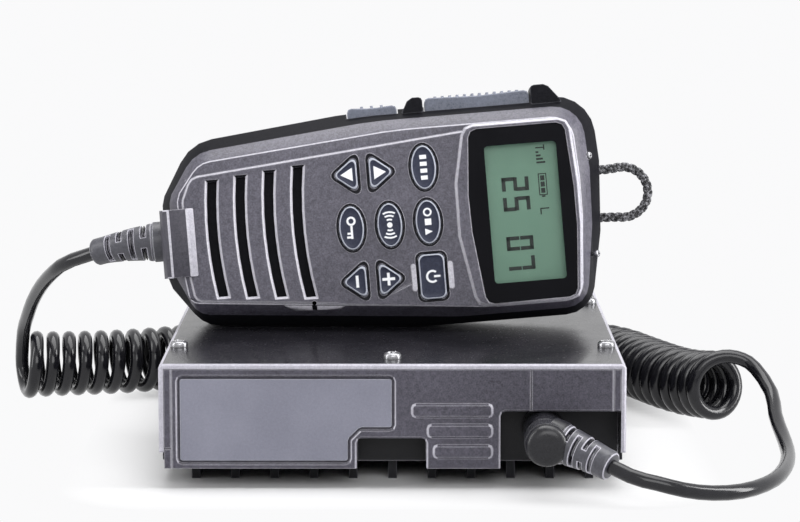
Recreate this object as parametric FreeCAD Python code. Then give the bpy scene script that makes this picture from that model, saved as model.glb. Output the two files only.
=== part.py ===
import FreeCAD, Part
import bisect
import math
import os

os.makedirs("parts", exist_ok=True)

# A mobile radio transceiver: a flat main unit, and a handset with display and keypad that stands
# on the unit's cover and hangs on a curly cord.
# X is to the right, Y away from the front panel, Z up, in millimetres. The origin is on the
# surface that the unit stands on, under the middle of the unit.

V = FreeCAD.Vector
UP = V(0, 0, 1)
BACK = V(0, 1, 0)
RIGHT = V(1, 0, 0)

# Flats that stand for the rounds which would only cost facets
hidden_sides = 8
shank_sides = 6
small_sides = 12
shown_sides = 14
plug_sides = 20
oval_sides = 16
slot_flats = 6
facet_turn = 80.0               # degrees between two flats of a round of 1 mm, if it could be
facet_turn_fall = 0.6           # how fast that falls with the radius
widest_facet_turn = 45.0        # degrees between two flats of the smallest rounds
narrowest_facet_turn = 18.0

# Clearances
seat_gap = 0.2          # between a piece and the seat that carries it
slide_gap = 0.3         # round a button or a lid that moves
bolt_gap = 0.15         # round a screw's shank

# Main unit
unit_width = 140.0
unit_depth = 150.0
body_height = 32.0
foot_height = 6.0       # cooling ribs that the unit stands on
cover_sheet = 1.5
cover_side_bottom = 11.0
cover_round = 1.3
cover_front_edge = 0.6
floor_thickness = 3.0
side_wall = 3.0
rear_wall = 5.0
front_wall = 2.5
panel_depth = 14.0
panel_wall = 2.5
foot_rib_width = 2.6
foot_rib_pitch = 12.0
foot_rib_count = 11
foot_setback = 1.0      # from the tray's front and back to the ribs' ends
rear_fin_gap = 2.6
rear_fin_pitch = 5.0
rear_fin_depth = 3.0
bracket_hole_radius = 1.65
bracket_boss_half = 5.0
bracket_hole_spread = 40.0
bracket_hole_height = 24.0
bracket_boss_depth = 9.0

# Cover screws, M3 pan head
screw_head_radius = 2.75
screw_head_height = 1.9
screw_shank_radius = 1.45
screw_length = 8.0
cover_screw_side = 4.0      # from the unit's side to the screws
cover_screw_spread = 88.0
cover_screw_end = 10.0      # from the front and back edge to the middle screws

# Front panel
plate_side_margin = 6.4     # from the unit's side to the name plate
plate_right = -0.2
plate_step_x = -13.4
plate_bottom = 8.6
plate_step_z = 18.8
plate_top = 33.4
plate_step_slant = 3.6
plate_thickness = 0.8
plate_groove = 0.9
plate_pocket = 1.1
plate_rim = 0.35
data_recess_left = -10.7
data_recess_right = 10.2
data_recess_top = 15.4
plug_recess_left = 32.4
plug_recess_top = 23.6
recess_depth = 11.5
recess_wall = 1.5
recess_rim = 0.5
bar_right = 30.2
bar_height = 4.4
bar_rise = 0.7
bar_starts = [(5.6, 21.7), (10.3, 15.5), (12.1, 9.2)]
border_line_inset = 3.8
border_line_width = 0.5
border_line_depth = 0.4
panel_seam_x = 41.3

# Microphone socket and plug
socket_x = 45.4
socket_z = 17.0
socket_radius = 4.6
socket_bore = 3.6
socket_flange_radius = 6.6
plug_radius = 6.3
plug_front_y = -96.0
plug_nose_length = 5.0
plug_edge = 2.0         # the rounded edge of its front
plug_boot_start = V(50.6, -89.0, 16.6)
plug_boot_aim = V(0.86, -0.42, -0.28)
plug_boot_end = V(64.1, -96.8, 11.5)
plug_boot_start_radius = 6.2
plug_boot_end_radius = 4.6

# Rear sockets
antenna_x = 14.0
antenna_z = 24.0
antenna_flange = 25.4
antenna_flange_thickness = 3.0
antenna_thread_radius = 7.94
antenna_thread_length = 12.0
antenna_screw_pitch = 18.0
antenna_tail_radius = 5.7
antenna_cup_radius = 6.0
antenna_contact_radius = 3.2
antenna_contact_bore = 2.0
inlet_x = -38.0
inlet_z = 24.0
inlet_width = 18.0
inlet_height = 12.0
inlet_blade_reach = 2.0     # how far the blades stand past the unit's back
speaker_jack_x = 40.0
speaker_jack_z = 24.0
speaker_jack_bore = 1.8
speaker_barrel_radius = 3.0

# Boards in the unit
board_thickness = 1.6
board_post_height = 5.0
board_post_radius = 3.5
board_side_gap = 1.0        # from the board's edges to the bracket's blocks
board_front = -50.0
board_back = 38.0
board_screw_inset = 5.0
front_board_left = -24.0
front_board_right = 60.0
header_left = 0.0           # plug strip between the boards
header_length = 22.0
header_depth = 4.0
header_height = 6.0
amplifier_left = -34.0
amplifier_right = 30.0
amplifier_front_gap = 6.0   # from the board's back edge to the module
amplifier_depth = 16.0
amplifier_height = 9.0
amplifier_ear = 6.0
amplifier_ear_setback = 3.0
amplifier_ear_height = 2.5
pin_width = 1.0
pin_thickness = 0.6
pin_pitch = 9.0
pin_first_x = -24.0
pin_count = 6
pin_overlap = 4.0           # how far the pins lie on the board
pin_reach = 0.5             # and how far they go into the module
can_places = [(-50.0, -16.0, -34.0, 6.0), (-8.0, 20.0, -24.0, 10.0)]    # left, right, front, back
can_height = 6.0
can_sheet = 0.5
chip_places = [
    (28.0, 40.0, -30.0, -18.0, 2.0),
    (30.0, 44.0, -4.0, 6.0, 1.6),
    (-44.0, -30.0, 14.0, 26.0, 3.0),
]
large_can_xs = [30.0, 39.0, 48.0]       # large capacitors, and the small ones
large_can_y = 18.0
large_can_radius = 3.1
large_can_height = 9.0
small_can_xs = [-20.0, -12.0, -4.0]
small_can_y = 22.0
small_can_radius = 3.0
small_can_height = 5.0

# Handset, in its own frame: X towards the head, Y towards the push-to-talk side, Z out of the
# face. The face is at Z 0 and the middle key is at the origin.
cord_end = 72.5
head_end = 69.6
tail_x = 62.0
waist_low_x = 10.0
waist_high_x = -10.0
tail_low = 27.3
head_low = 33.3
tail_high = 31.8
head_high = 37.1
nose_low = 13.0
nose_high = 14.0
nose_radius = 6.0
tail_radius = 11.0
head_radius_low = 10.0
head_radius_high = 13.0
soft_radius = 45.0
front_depth = 12.0      # from the face to the parting line
back_draft_depth = 15.0
back_round_depth = 4.5
handset_thickness = 34.0
shell_wall = 2.0
face_wall = 2.0
rim_drop = 0.6          # from the keypad's face to the rim round it
shoulder_depth = 5.0
cord_bevel = 5.7
tail_bevel_low = 7.7
tail_bevel_high = 7.2
head_bevel_low = 4.7
head_bevel_high = 7.1
head_end_bevel = 7.8
handset_lean = 8.0      # degrees, back from upright, as its lower side is drafted
handset_x = -1.05
handset_y = -12.9

# Handset face
slot_count = 4
slot_pitch = 9.1
slot_width = 3.0
slot_bow = 125.0
slot_chamfer = 0.7
first_slot_x = -56.3
slot_end_margin = 1.3       # from the first slot's ends to the rim at the cord end
slot_growth = 0.8
slot_tilt = 2.4
key_pitch_x = 12.2
key_pitch_y = 17.4
oval_width = 8.0
oval_height = 14.0
triangle_depth = 8.0
triangle_half = 6.2
triangle_inner_x = -9.0
triangle_outer_x = -5.2
triangle_radius = 1.5
power_width = 8.4
power_height = 14.4
key_rise = 0.8
key_gap = 0.25
key_lip = 0.6
key_foot = 0.6
key_travel = 0.6
guard_bar_width = 1.5
guard_bar_height = 8.6
guard_bar_rise = 0.9
window_rise = 0.8
window_thickness = 1.2
head_frame_rise = 1.0
mat_thickness = 0.9
panel_glass_thickness = 2.2
handset_board_depth = 4.6   # from the face to the board
panel_left = 30.0           # liquid crystal panel
panel_right = 56.6
panel_low = -22.9
panel_high = 23.6
panel_gap = 0.2
holder_left_wall = 1.6      # frame round the panel
holder_right_wall = 1.1
holder_low_wall = 0.8
holder_high_wall = 1.2
board_left_margin = 2.2     # from the boss to the handset board's edge
board_right_margin = 2.4    # from the panel to the board's other edges
board_low_inset = 0.3
board_high_margin = 0.8
board_corner = 1.0
mat_left_margin = 2.6       # from the keys to the keypad mat's edges
mat_right_margin = 4.0
mat_low_inset = 2.0
mat_high_inset = 0.2
mat_corner = 2.0
speaker_radius = 17.5
speaker_x = -41.0
speaker_y = 0.8
speaker_height = 8.0
cloth_thickness = 0.3
cloth_margin = 1.2          # from the first slot to the cloth's edge
cloth_head_margin = 3.6     # from the last slot to the cloth's edge
cloth_corner = 1.0
microphone_x = -26.0
microphone_inset = 1.3      # from the cloth's lower edge

shell_screw_spots = [(-61.5, 18.5), (-61.5, -14.5), (56.0, 26.8), (56.0, -26.0)]
shell_boss_radius = 2.4
shell_tube_radius = 3.2
board_boss_left_x = -20.0
board_boss_left_y = 9.0
board_boss_right_x = 23.0
board_boss_right_y = 21.0
board_boss_radius = 1.9
boss_gap = 0.4              # round a boss, in the mat, the boards and the display's frame
shell_screw_head_radius = 2.0
shell_screw_radius = 1.0
shell_screw_depth = 5.0     # from the handset's back to the seat of a screw
board_pin_radius = 0.7      # screws of the handset's board
end_screw_head_radius = 1.15
end_screw_radius = 0.65
end_screw_high = 17.0       # the two screws, up and down from the handset's middle line
end_screw_low = -14.5
end_screw_share = 0.45      # how far down the sloping wall they sit
end_screw_setback = 0.35
earphone_y = 4.5
earphone_z = -7.2
hanger_x = 16.0
jack_cover_low = 11.2
jack_cover_high = 10.6
jack_cover_rise = 1.5
jack_cover_edge = 0.8

# Buttons on the handset's upper side
ptt_left = 14.2
ptt_right = 47.8
ptt_front = 9.3
ptt_back = 22.7
ptt_top = 40.2
ptt_travel = 1.5
side_button_left = -10.8
side_button_right = 5.2
side_button_top = 38.9
button_lip = 1.0
button_foot = 33.0
grip_rib_count = 12
grip_rib_rise = 0.5
switch_board_y = 27.0
switch_height = 2.4

# Cord
cord_diameter = 4.6
coil_radius = 8.9           # to the middle of the cord
curl_gap_start = 0.95       # between curls, on the inside of a bend
curl_gap_end = 0.7
curl_steps = 8              # straight runs in one curl
curl_sides = 5
lead_sides = 5
coil_end_share = 0.9        # how much of its last curl the coil winds
end_opening = 0.7           # how much wider the first and last curls are
end_opening_fade = 1.2
end_stretch = 9.0           # how far the last half curl is pulled out
straight_end = cord_diameter * 1.05
coil_start_lean = V(0.25, -0.8, 0)
coil_end_lean = V(-0.5, -0.55, 0)

# Boots on the cord
boot_axis_y = 1.0
boot_axis_z = -17.3
boot_neck_radius = 5.9
boot_sleeve_radius = 6.5
boot_flange_radius = 7.1
boot_flange_setback = 2.4   # the wall that it bears on leans inwards
boot_sleeve_length = 4.6
boot_tip = V(-96.2, -0.7, -21.3)
boot_tip_radius = 4.4
boot_core_radius = 3.1
boot_slots = 4
boot_web = 2.6

# Loop that the handset hangs by
loop_cord_diameter = 3.0
loop_radius = 8.3
loop_y = 4.6
loop_z = -17.0
loop_meeting = 118.0        # degrees from the loop's far end to where its leads meet it
loop_flats = 14

# Hand-chosen routes
coil_axis_points = [
    (-128.8, 69.0, 12.4),
    (-106.0, 74.5, 11.85),
    (-82.0, 83.0, 11.85),
    (-56.0, 101.0, 11.85),
    (-26.0, 119.0, 11.85),
    (8.0, 125.0, 11.85),
    (40.0, 118.5, 11.85),
    (64.0, 103.5, 11.85),
    (80.4, 84.0, 11.85),
    (87.2, 64.0, 11.85),
    (94.2, 46.5, 11.85),
    (102.0, 33.0, 11.95),
    (108.5, 20.5, 14.0),
]
handset_lead_points = [
    (-111.6, 19.0, 52.8),
    (-117.9, 34.0, 46.1),
    (-123.3, 49.0, 37.7),
    (-126.8, 62.0, 29.9),
]
plug_lead_points = [
    (123.1, -7.0, 9.3),
    (124.1, -20.0, 5.5),
    (124.1, -33.5, 3.3),
    (122.4, -48.3, 2.8),
    (117.5, -68.6, 2.8),
    (111.3, -81.9, 2.8),
    (103.0, -92.1, 2.9),
    (93.6, -97.5, 3.6),
    (85.0, -101.0, 5.3),
    (76.7, -102.5, 7.9),
]

# Values worked out from the ones above
half_width = unit_width / 2
half_depth = unit_depth / 2
body_bottom = foot_height
cover_top = foot_height + body_height
chassis_top = cover_top - cover_sheet - seat_gap / 2
chassis_half = half_width - cover_sheet - seat_gap / 2
panel_back_y = -half_depth + panel_depth
chassis_front_y = panel_back_y + seat_gap / 2
cavity_front_y = chassis_front_y + front_wall
cavity_back_y = half_depth - rear_wall
floor_top = body_bottom + floor_thickness
board_bottom = floor_top + board_post_height
board_top = board_bottom + board_thickness
board_half = half_width - bracket_boss_depth - board_side_gap
plate_left = plate_side_margin - half_width
first_slot_half = tail_low - tail_bevel_low - slot_end_margin
cloth_head_half = first_slot_half + slot_count * slot_growth
microphone_y = microphone_inset - cloth_head_half
handset_roll = math.degrees(math.atan2(head_low - tail_low, tail_x + waist_low_x))
handset_board_top = -handset_board_depth
handset_board_bottom = handset_board_top - board_thickness

pieces = {}


def box(x0, x1, y0, y1, z0, z1):
    return Part.makeBox(x1 - x0, y1 - y0, z1 - z0, V(x0, y0, z0))


def closed(points):
    return Part.makePolygon(points + [points[0]])


def rod(start, direction, radius, length, sides=0):
    # round, or with a number of flats where a true round would only cost facets
    if not sides:
        return Part.makeCylinder(radius, length, start, direction)
    section = Part.Face(closed(ring(start, direction, radius, sides)))
    return section.extrude(V(direction).normalize() * length)


def ring(centre, direction, radius, sides):
    # the corners of a polygon of the same area as the circle; they are the same both ways along
    along = V(direction).normalize()
    across = along.cross(UP if abs(along.z) < 0.9 else RIGHT).normalize()
    other = along.cross(across)
    step = 2 * math.pi / sides
    reach = radius / math.sqrt(math.sin(step) / step)
    return [centre + (across * math.cos(step * (i + 0.5)) + other * math.sin(step * (i + 0.5)))
            * reach for i in range(sides)]


def flat_loft(rings):
    # a body through rings of points, with flat walls between each ring and the next
    faces = [Part.Face(closed(rings[0])), Part.Face(closed(rings[-1]))]
    for below, above in zip(rings, rings[1:]):
        for i in range(len(below)):
            first, second = below[i - 1], below[i]
            third, fourth = above[i], above[i - 1]
            normal = (second - first).cross(third - first).normalize()
            if abs(normal.dot(fourth - first)) < 1e-6:
                faces.append(Part.Face(closed([first, second, third, fourth])))
            else:
                faces.append(Part.Face(closed([first, second, third])))
                faces.append(Part.Face(closed([first, third, fourth])))
    shell = Part.makeShell(faces)
    shell.sewShape()
    solid = Part.makeSolid(shell.Shells[0])
    if solid.Volume < 0:
        solid.reverse()
    return solid


def join(shapes):
    first = shapes[0]
    if len(shapes) == 1:
        return first
    return first.fuse(shapes[1:]).removeSplitter()


def corner_facets(corners):
    # how many short straight pieces stand for the round of each corner
    counts = []
    for i, (x, y, radius) in enumerate(corners):
        after = corners[(i + 1) % len(corners)]
        coming = V(x - corners[i - 1][0], y - corners[i - 1][1], 0)
        going = V(after[0] - x, after[1] - y, 0)
        turn = math.degrees(coming.getAngle(going))
        step = min(facet_turn / max(radius, 0.1) ** facet_turn_fall, widest_facet_turn)
        counts.append(max(1, round(turn / max(step, narrowest_facet_turn))))
    return counts


def rounded(corners, z=0.0, counts=None):
    # corners are (x, y, radius) in order; each round is tangent to both of its sides and is
    # drawn with short straight pieces
    counts = counts or corner_facets(corners)
    total = len(corners)
    points = []
    for i, (x, y, radius) in enumerate(corners):
        here = V(x, y, z)
        if not radius:
            points.append(here)
            continue
        before = V(corners[i - 1][0], corners[i - 1][1], z)
        after = V(corners[(i + 1) % total][0], corners[(i + 1) % total][1], z)
        coming = (here - before).normalize()
        going = (after - here).normalize()
        half_turn = coming.getAngle(going) / 2
        inwards = (going - coming).normalize()
        centre = here + inwards * (radius / math.cos(half_turn))
        side = coming if coming.cross(going).z > 0 else coming * -1
        outwards = V(side.y, -side.x, 0) * radius
        sign = 1 if coming.cross(going).z > 0 else -1
        for k in range(counts[i] + 1):
            turn = FreeCAD.Rotation(UP, math.degrees(sign * 2 * half_turn * k / counts[i]))
            points.append(centre + turn.multVec(outwards))
    return points


def prism(corners, z0, z1):
    return Part.Face(closed(rounded(corners, z0))).extrude(V(0, 0, z1 - z0))


def layered(levels, coarse=1):
    # levels are (corners, z), joined by straight walls; coarse divides the facets of the rounds
    counts = [max(1, count // coarse) for count in corner_facets(levels[0][0])]
    return flat_loft([rounded(corners, z, counts) for corners, z in levels])


def inset(corners, amount):
    # moves every side of a counter-clockwise outline inwards by amount, or outwards where negative
    count = len(corners)
    result = []
    for i in range(count):
        x, y, radius = corners[i]
        here = V(x, y, 0)
        before = V(corners[i - 1][0], corners[i - 1][1], 0)
        after = V(corners[(i + 1) % count][0], corners[(i + 1) % count][1], 0)
        coming = (here - before).normalize()
        going = (after - here).normalize()
        turn = coming.x * going.y - coming.y * going.x
        half_turn = coming.getAngle(going) / 2
        if turn < 0:
            half_turn = -half_turn
        along = amount * math.tan(half_turn)
        inwards = V(-coming.y, coming.x, 0)
        moved = here - coming * along + inwards * amount
        change = amount if turn > 0 else -amount
        result.append((moved.x, moved.y, max(radius - change, 0.3) if radius else 0))
    return result


def mixed(first, second, share):
    return [
        tuple(a + (b - a) * share for a, b in zip(one, other))
        for one, other in zip(first, second)
    ]


def rectangle(x0, x1, y0, y1, radius):
    return [(x0, y0, radius), (x1, y0, radius), (x1, y1, radius), (x0, y1, radius)]


def turned(start, direction, stations, sides):
    # a body along a straight axis, drawn by pairs of distance and radius
    direction = V(direction).normalize()
    return flat_loft([ring(start + direction * distance, direction, radius, sides)
                      for distance, radius in stations])


def pan_screw(seat, direction, head_radius, head_height, shank_radius, length, sides):
    # seat is the point under the head, and direction points out of the piece that it holds
    edge = head_height * 0.5
    if sides == hidden_sides:
        head = rod(seat, direction, head_radius, head_height, sides)
    else:
        head = turned(seat, direction, [(0, head_radius), (head_height - edge, head_radius),
                                        (head_height, head_radius - edge)], sides)
    shank = rod(seat + direction * edge, direction * -1, shank_radius, length + edge, shank_sides)
    return head.fuse(shank)


def cover_screw_places():
    side_x = half_width - cover_screw_side
    side_y = cover_screw_spread / 2
    middle_y = half_depth - cover_screw_end
    return [(-side_x, -side_y), (side_x, -side_y), (-side_x, side_y), (side_x, side_y),
            (0.0, -middle_y), (0.0, middle_y)]


def board_screw_places():
    x = board_half - board_screw_inset
    return [(-x, board_front + board_screw_inset), (x, board_front + board_screw_inset),
            (-x, board_back - board_screw_inset), (x, board_back - board_screw_inset)]


def antenna_screw_places():
    half = antenna_screw_pitch / 2
    return [(antenna_x + i * half, antenna_z + k * half) for i in (-1, 1) for k in (-1, 1)]


def bracket_hole_places():
    return [-bracket_hole_spread / 2, bracket_hole_spread / 2]


def bracket_block(x0, x1, y, half):
    return box(x0, x1, y - half, y + half, bracket_hole_height - half, bracket_hole_height + half)


# Main unit

def make_chassis():
    lower = box(-half_width, half_width, chassis_front_y, half_depth, body_bottom,
                cover_side_bottom - seat_gap)
    upper = box(-chassis_half, chassis_half, chassis_front_y, half_depth, body_bottom, chassis_top)
    body = lower.fuse(upper).removeSplitter()
    wall_inner = chassis_half - side_wall
    body = body.cut(box(-wall_inner, wall_inner, cavity_front_y, cavity_back_y, floor_top,
                        chassis_top + 1))
    additions = []
    for x, y in cover_screw_places():
        if x:
            side = 1 if x > 0 else -1
            inner = x - side * (screw_head_radius + 2.0)
            x0, x1 = sorted((inner, side * (chassis_half - 0.5)))
            additions.append(box(x0, x1, y - 4.5, y + 4.5, floor_top - 1, chassis_top))
        elif y < 0:
            additions.append(box(-4.0, 4.0, y - 4.0, chassis_front_y + 1, chassis_top - 9,
                                 chassis_top))
        else:
            additions.append(box(-4.0, 4.0, y - 4.5, cavity_back_y + 1, floor_top - 1,
                                 chassis_top))
    for x, y in board_screw_places():
        additions.append(rod(V(x, y, floor_top - 1), UP, board_post_radius, board_post_height + 1,
                             hidden_sides))
    for y in bracket_hole_places():
        for x0, x1 in ((-half_width, -half_width + bracket_boss_depth),
                       (half_width - bracket_boss_depth, half_width)):
            additions.append(bracket_block(x0, x1, y, bracket_boss_half))
    first = -(foot_rib_count - 1) / 2 * foot_rib_pitch
    for i in range(foot_rib_count):
        x = first + i * foot_rib_pitch
        additions.append(box(x - foot_rib_width / 2, x + foot_rib_width / 2,
                             chassis_front_y + foot_setback, half_depth - foot_setback,
                             0, body_bottom + 1))
    body = join([body] + additions)
    cuts = []
    for x, y in cover_screw_places():
        cuts.append(rod(V(x, y, chassis_top + 1), UP * -1, screw_shank_radius + bolt_gap,
                        screw_length + 1, shank_sides))
    for x, y in board_screw_places():
        cuts.append(rod(V(x, y, board_bottom + 1), UP * -1, screw_shank_radius + bolt_gap, 7.0,
                        shank_sides))
    for y in bracket_hole_places():
        for side in (-1, 1):
            start = V(side * (half_width + 1), y, bracket_hole_height)
            cuts.append(rod(start, V(-side, 0, 0), bracket_hole_radius, bracket_boss_depth))
    cuts.append(box(socket_x - 11, socket_x + 11, chassis_front_y - 1, cavity_front_y + 1,
                    floor_top + 1, socket_z + 10))
    cuts.append(rod(V(antenna_x, cavity_back_y - 1, antenna_z), BACK,
                    antenna_tail_radius + seat_gap, rear_wall + 2, shown_sides))
    for x, z in antenna_screw_places():
        cuts.append(rod(V(x, half_depth + 1, z), BACK * -1, screw_shank_radius + bolt_gap, 6.5,
                        shank_sides))
    cuts.append(box(inlet_x - inlet_width / 2 - slide_gap, inlet_x + inlet_width / 2 + slide_gap,
                    cavity_back_y - 1, half_depth + 1,
                    inlet_z - inlet_height / 2 - slide_gap, inlet_z + inlet_height / 2 + slide_gap))
    cuts.append(rod(V(speaker_jack_x, cavity_back_y - 1, speaker_jack_z), BACK,
                    speaker_barrel_radius + seat_gap, rear_wall + 2, small_sides))
    flat_zones = [(inlet_x, inlet_width / 2 + 5), (antenna_x, antenna_flange / 2 + 1),
                  (speaker_jack_x, 7.0)]
    x = -half_width + 6
    while x < half_width - 5:
        if all(abs(x - middle) > half + rear_fin_gap / 2 for middle, half in flat_zones):
            cuts.append(box(x - rear_fin_gap / 2, x + rear_fin_gap / 2,
                            half_depth - rear_fin_depth, half_depth + 1,
                            body_bottom + 3, chassis_top - 3))
        x += rear_fin_pitch
    return body.cut(Part.makeCompound(cuts))


def make_top_cover():
    section = [(-half_width, cover_side_bottom, 0), (half_width, cover_side_bottom, 0),
               (half_width, cover_top, cover_round), (-half_width, cover_top, cover_round)]
    outer = upright(layered([(section, -half_depth), (section, half_depth - cover_front_edge),
                             (inset(section, cover_front_edge), half_depth)]), 0)
    inner_half = half_width - cover_sheet
    cuts = [box(-inner_half, inner_half, -half_depth - 1, half_depth + 1, 0,
                cover_top - cover_sheet)]
    for x, y in cover_screw_places():
        cuts.append(rod(V(x, y, cover_top + 1), UP * -1, screw_shank_radius + bolt_gap,
                        cover_sheet + 2, shank_sides))
    for y in bracket_hole_places():
        cuts.append(bracket_block(-half_width - 1, half_width + 1, y, bracket_boss_half + seat_gap))
    return outer.cut(Part.makeCompound(cuts))


def plate_outline(growth):
    corners = [
        (plate_left, plate_bottom, 0.6),
        (plate_step_x, plate_bottom, 0.6),
        (plate_step_x, plate_step_z - plate_step_slant, 1.6),
        (plate_step_x + plate_step_slant, plate_step_z, 1.6),
        (plate_right, plate_step_z, 0.6),
        (plate_right, plate_top, 0.6),
        (plate_left, plate_top, 0.6),
    ]
    return inset(corners, -growth)


def upright(shape, y):
    # turns a shape drawn flat, with Z as its thickness, so that it faces the front at Y
    turned = shape.copy()
    turned.rotate(V(0, 0, 0), RIGHT, 90)
    turned.translate(V(0, y, 0))
    return turned


def pocket(outline, depth, rim):
    # a pocket in the panel's front, with a chamfered mouth
    wide = inset(outline, -rim)
    return upright(layered([(outline, -depth), (outline, -rim), (wide, 0), (wide, 1)]),
                   -half_depth)


def make_front_panel():
    panel_half = chassis_half
    front_y = -half_depth
    body = box(-panel_half, panel_half, front_y, panel_back_y, body_bottom + seat_gap, chassis_top)
    hollow = box(-panel_half + panel_wall, panel_half - panel_wall, front_y + panel_wall,
                 panel_back_y + 1, body_bottom + panel_wall, chassis_top - panel_wall)
    recess_back_y = front_y + recess_depth
    data_block = box(data_recess_left - recess_wall, data_recess_right + recess_wall, front_y,
                     recess_back_y + recess_wall, 0, data_recess_top + recess_wall)
    plug_block = box(plug_recess_left - recess_wall, half_width, front_y,
                     recess_back_y + recess_wall, 0, plug_recess_top + recess_wall)
    body = body.cut(hollow.cut(Part.makeCompound([data_block, plug_block])))
    boss_y = -half_depth + cover_screw_end
    cuts = [
        pocket(rectangle(data_recess_left, data_recess_right, 0, data_recess_top, 1.4),
               recess_depth, recess_rim),
        pocket(rectangle(plug_recess_left, half_width + 5, 0, plug_recess_top, 1.4),
               recess_depth, recess_rim),
        pocket(plate_outline(plate_groove), plate_pocket, plate_rim),
        box(-4.4, 4.4, boss_y - 4.4, panel_back_y + 1, chassis_top - 9.4, chassis_top + 1),
        rod(V(socket_x, front_y, socket_z), BACK, socket_radius + bolt_gap, panel_depth + 2,
            shown_sides),
    ]
    line_x = half_width - border_line_inset
    for x in (-line_x, line_x):
        cuts.append(box(x - border_line_width / 2, x + border_line_width / 2, front_y - 1,
                        front_y + border_line_depth, 0, cover_top))
    cuts.append(box(-half_width, -line_x, front_y - 1, front_y + border_line_depth,
                    cover_side_bottom + 1, cover_side_bottom + 1 + border_line_width))
    cuts.append(box(panel_seam_x, panel_seam_x + border_line_width, front_y - 1,
                    front_y + border_line_depth, plug_recess_top - 1, cover_top))
    body = body.cut(Part.makeCompound(cuts))
    bars = []
    for x, z in bar_starts:
        outline = rectangle(x, bar_right, z, z + bar_height, 1.4)
        bars.append(upright(layered([(outline, -0.5), (outline, 0.0),
                                     (inset(outline, 0.6), bar_rise)]), front_y))
    return join([body] + bars)


def make_name_plate():
    floor_y = -half_depth + plate_pocket
    return upright(prism(plate_outline(0), 0, plate_thickness), floor_y)


def make_mic_jack():
    front_y = -half_depth + recess_depth - 2.0
    board_y = cavity_front_y + seat_gap
    barrel = rod(V(socket_x, front_y, socket_z), BACK, socket_radius, board_y - front_y,
                 shown_sides)
    flange = rod(V(socket_x, panel_back_y + seat_gap, socket_z), BACK, socket_flange_radius,
                 board_y - panel_back_y - seat_gap, shown_sides)
    bore = rod(V(socket_x, front_y - 1, socket_z), BACK, socket_bore, plug_nose_length + 1.5,
               shown_sides)
    return barrel.fuse(flange).cut(bore)


def make_front_board():
    front_y = cavity_front_y + seat_gap
    back_y = front_y + board_thickness
    board = box(front_board_left, front_board_right, front_y, back_y, floor_top + 1,
                chassis_top - 3)
    header = box(header_left, header_left + header_length, back_y, back_y + header_depth,
                 board_top, board_top + header_height)
    return board.fuse(header)


def make_main_board():
    board = box(-board_half, board_half, board_front, board_back, board_bottom, board_top)
    holes = [rod(V(x, y, board_bottom - 1), UP, screw_shank_radius + bolt_gap,
                 board_thickness + 2, shank_sides) for x, y in board_screw_places()]
    return board.cut(Part.makeCompound(holes))


def make_board_screws():
    return Part.makeCompound([
        pan_screw(V(x, y, board_top), UP, screw_head_radius, screw_head_height,
                  screw_shank_radius, 6.0, hidden_sides)
        for x, y in board_screw_places()])


def make_power_amplifier():
    front_y = board_back + amplifier_front_gap
    back_y = front_y + amplifier_depth
    module = box(amplifier_left, amplifier_right, front_y, back_y, floor_top,
                 floor_top + amplifier_height)
    ears = box(amplifier_left - amplifier_ear, amplifier_right + amplifier_ear,
               front_y + amplifier_ear_setback, back_y - amplifier_ear_setback, floor_top,
               floor_top + amplifier_ear_height)
    pins = []
    for i in range(pin_count):
        x = pin_first_x + i * pin_pitch
        pins.append(box(x, x + pin_width, board_back - pin_overlap, front_y + pin_reach,
                        board_top, board_top + pin_thickness))
    return join([module, ears] + pins)


def make_shield_cans():
    cans = []
    for x0, x1, y0, y1 in can_places:
        outer = box(x0, x1, y0, y1, board_top, board_top + can_height)
        cans.append(outer.cut(box(x0 + can_sheet, x1 - can_sheet, y0 + can_sheet,
                                  y1 - can_sheet, board_top - 1,
                                  board_top + can_height - can_sheet)))
    return Part.makeCompound(cans)


def make_board_components():
    parts = [box(x0, x1, y0, y1, board_top, board_top + height)
             for x0, x1, y0, y1, height in chip_places]
    for x in large_can_xs:
        parts.append(rod(V(x, large_can_y, board_top), UP, large_can_radius, large_can_height,
                         hidden_sides))
    for x in small_can_xs:
        parts.append(rod(V(x, small_can_y, board_top), UP, small_can_radius, small_can_height,
                         hidden_sides))
    return Part.makeCompound(parts)


def make_cover_screws():
    return Part.makeCompound([
        pan_screw(V(x, y, cover_top), UP, screw_head_radius, screw_head_height,
                  screw_shank_radius, screw_length, small_sides)
        for x, y in cover_screw_places()])


def make_antenna_socket():
    half = antenna_flange / 2
    y = half_depth
    outline = rectangle(antenna_x - half, antenna_x + half, antenna_z - half, antenna_z + half, 2.0)
    flange = upright(prism(outline, -antenna_flange_thickness, 0), y)
    thread_y = y + antenna_flange_thickness
    barrel = rod(V(antenna_x, thread_y - 1, antenna_z), BACK, antenna_thread_radius,
                 antenna_thread_length + 1)
    tail = rod(V(antenna_x, y - rear_wall - 3, antenna_z), BACK, antenna_tail_radius,
               rear_wall + 4, shown_sides)
    cup = rod(V(antenna_x, thread_y + 4, antenna_z), BACK, antenna_cup_radius,
              antenna_thread_length, plug_sides)
    contact = rod(V(antenna_x, thread_y + 3, antenna_z), BACK, antenna_contact_radius,
                  antenna_thread_length - 4, shown_sides)
    contact = contact.cut(rod(V(antenna_x, thread_y + 4, antenna_z), BACK, antenna_contact_bore,
                              antenna_thread_length))
    holes = [rod(V(x, y - 1, z), BACK, screw_shank_radius + bolt_gap,
                 antenna_flange_thickness + 2, shank_sides) for x, z in antenna_screw_places()]
    body = join([flange, barrel, tail]).cut(cup).fuse(contact)
    return body.cut(Part.makeCompound(holes))


def make_antenna_socket_screws():
    y = half_depth + antenna_flange_thickness
    return Part.makeCompound([
        pan_screw(V(x, y, z), BACK, 2.6, 1.7, screw_shank_radius, 7.0, small_sides)
        for x, z in antenna_screw_places()])


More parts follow.
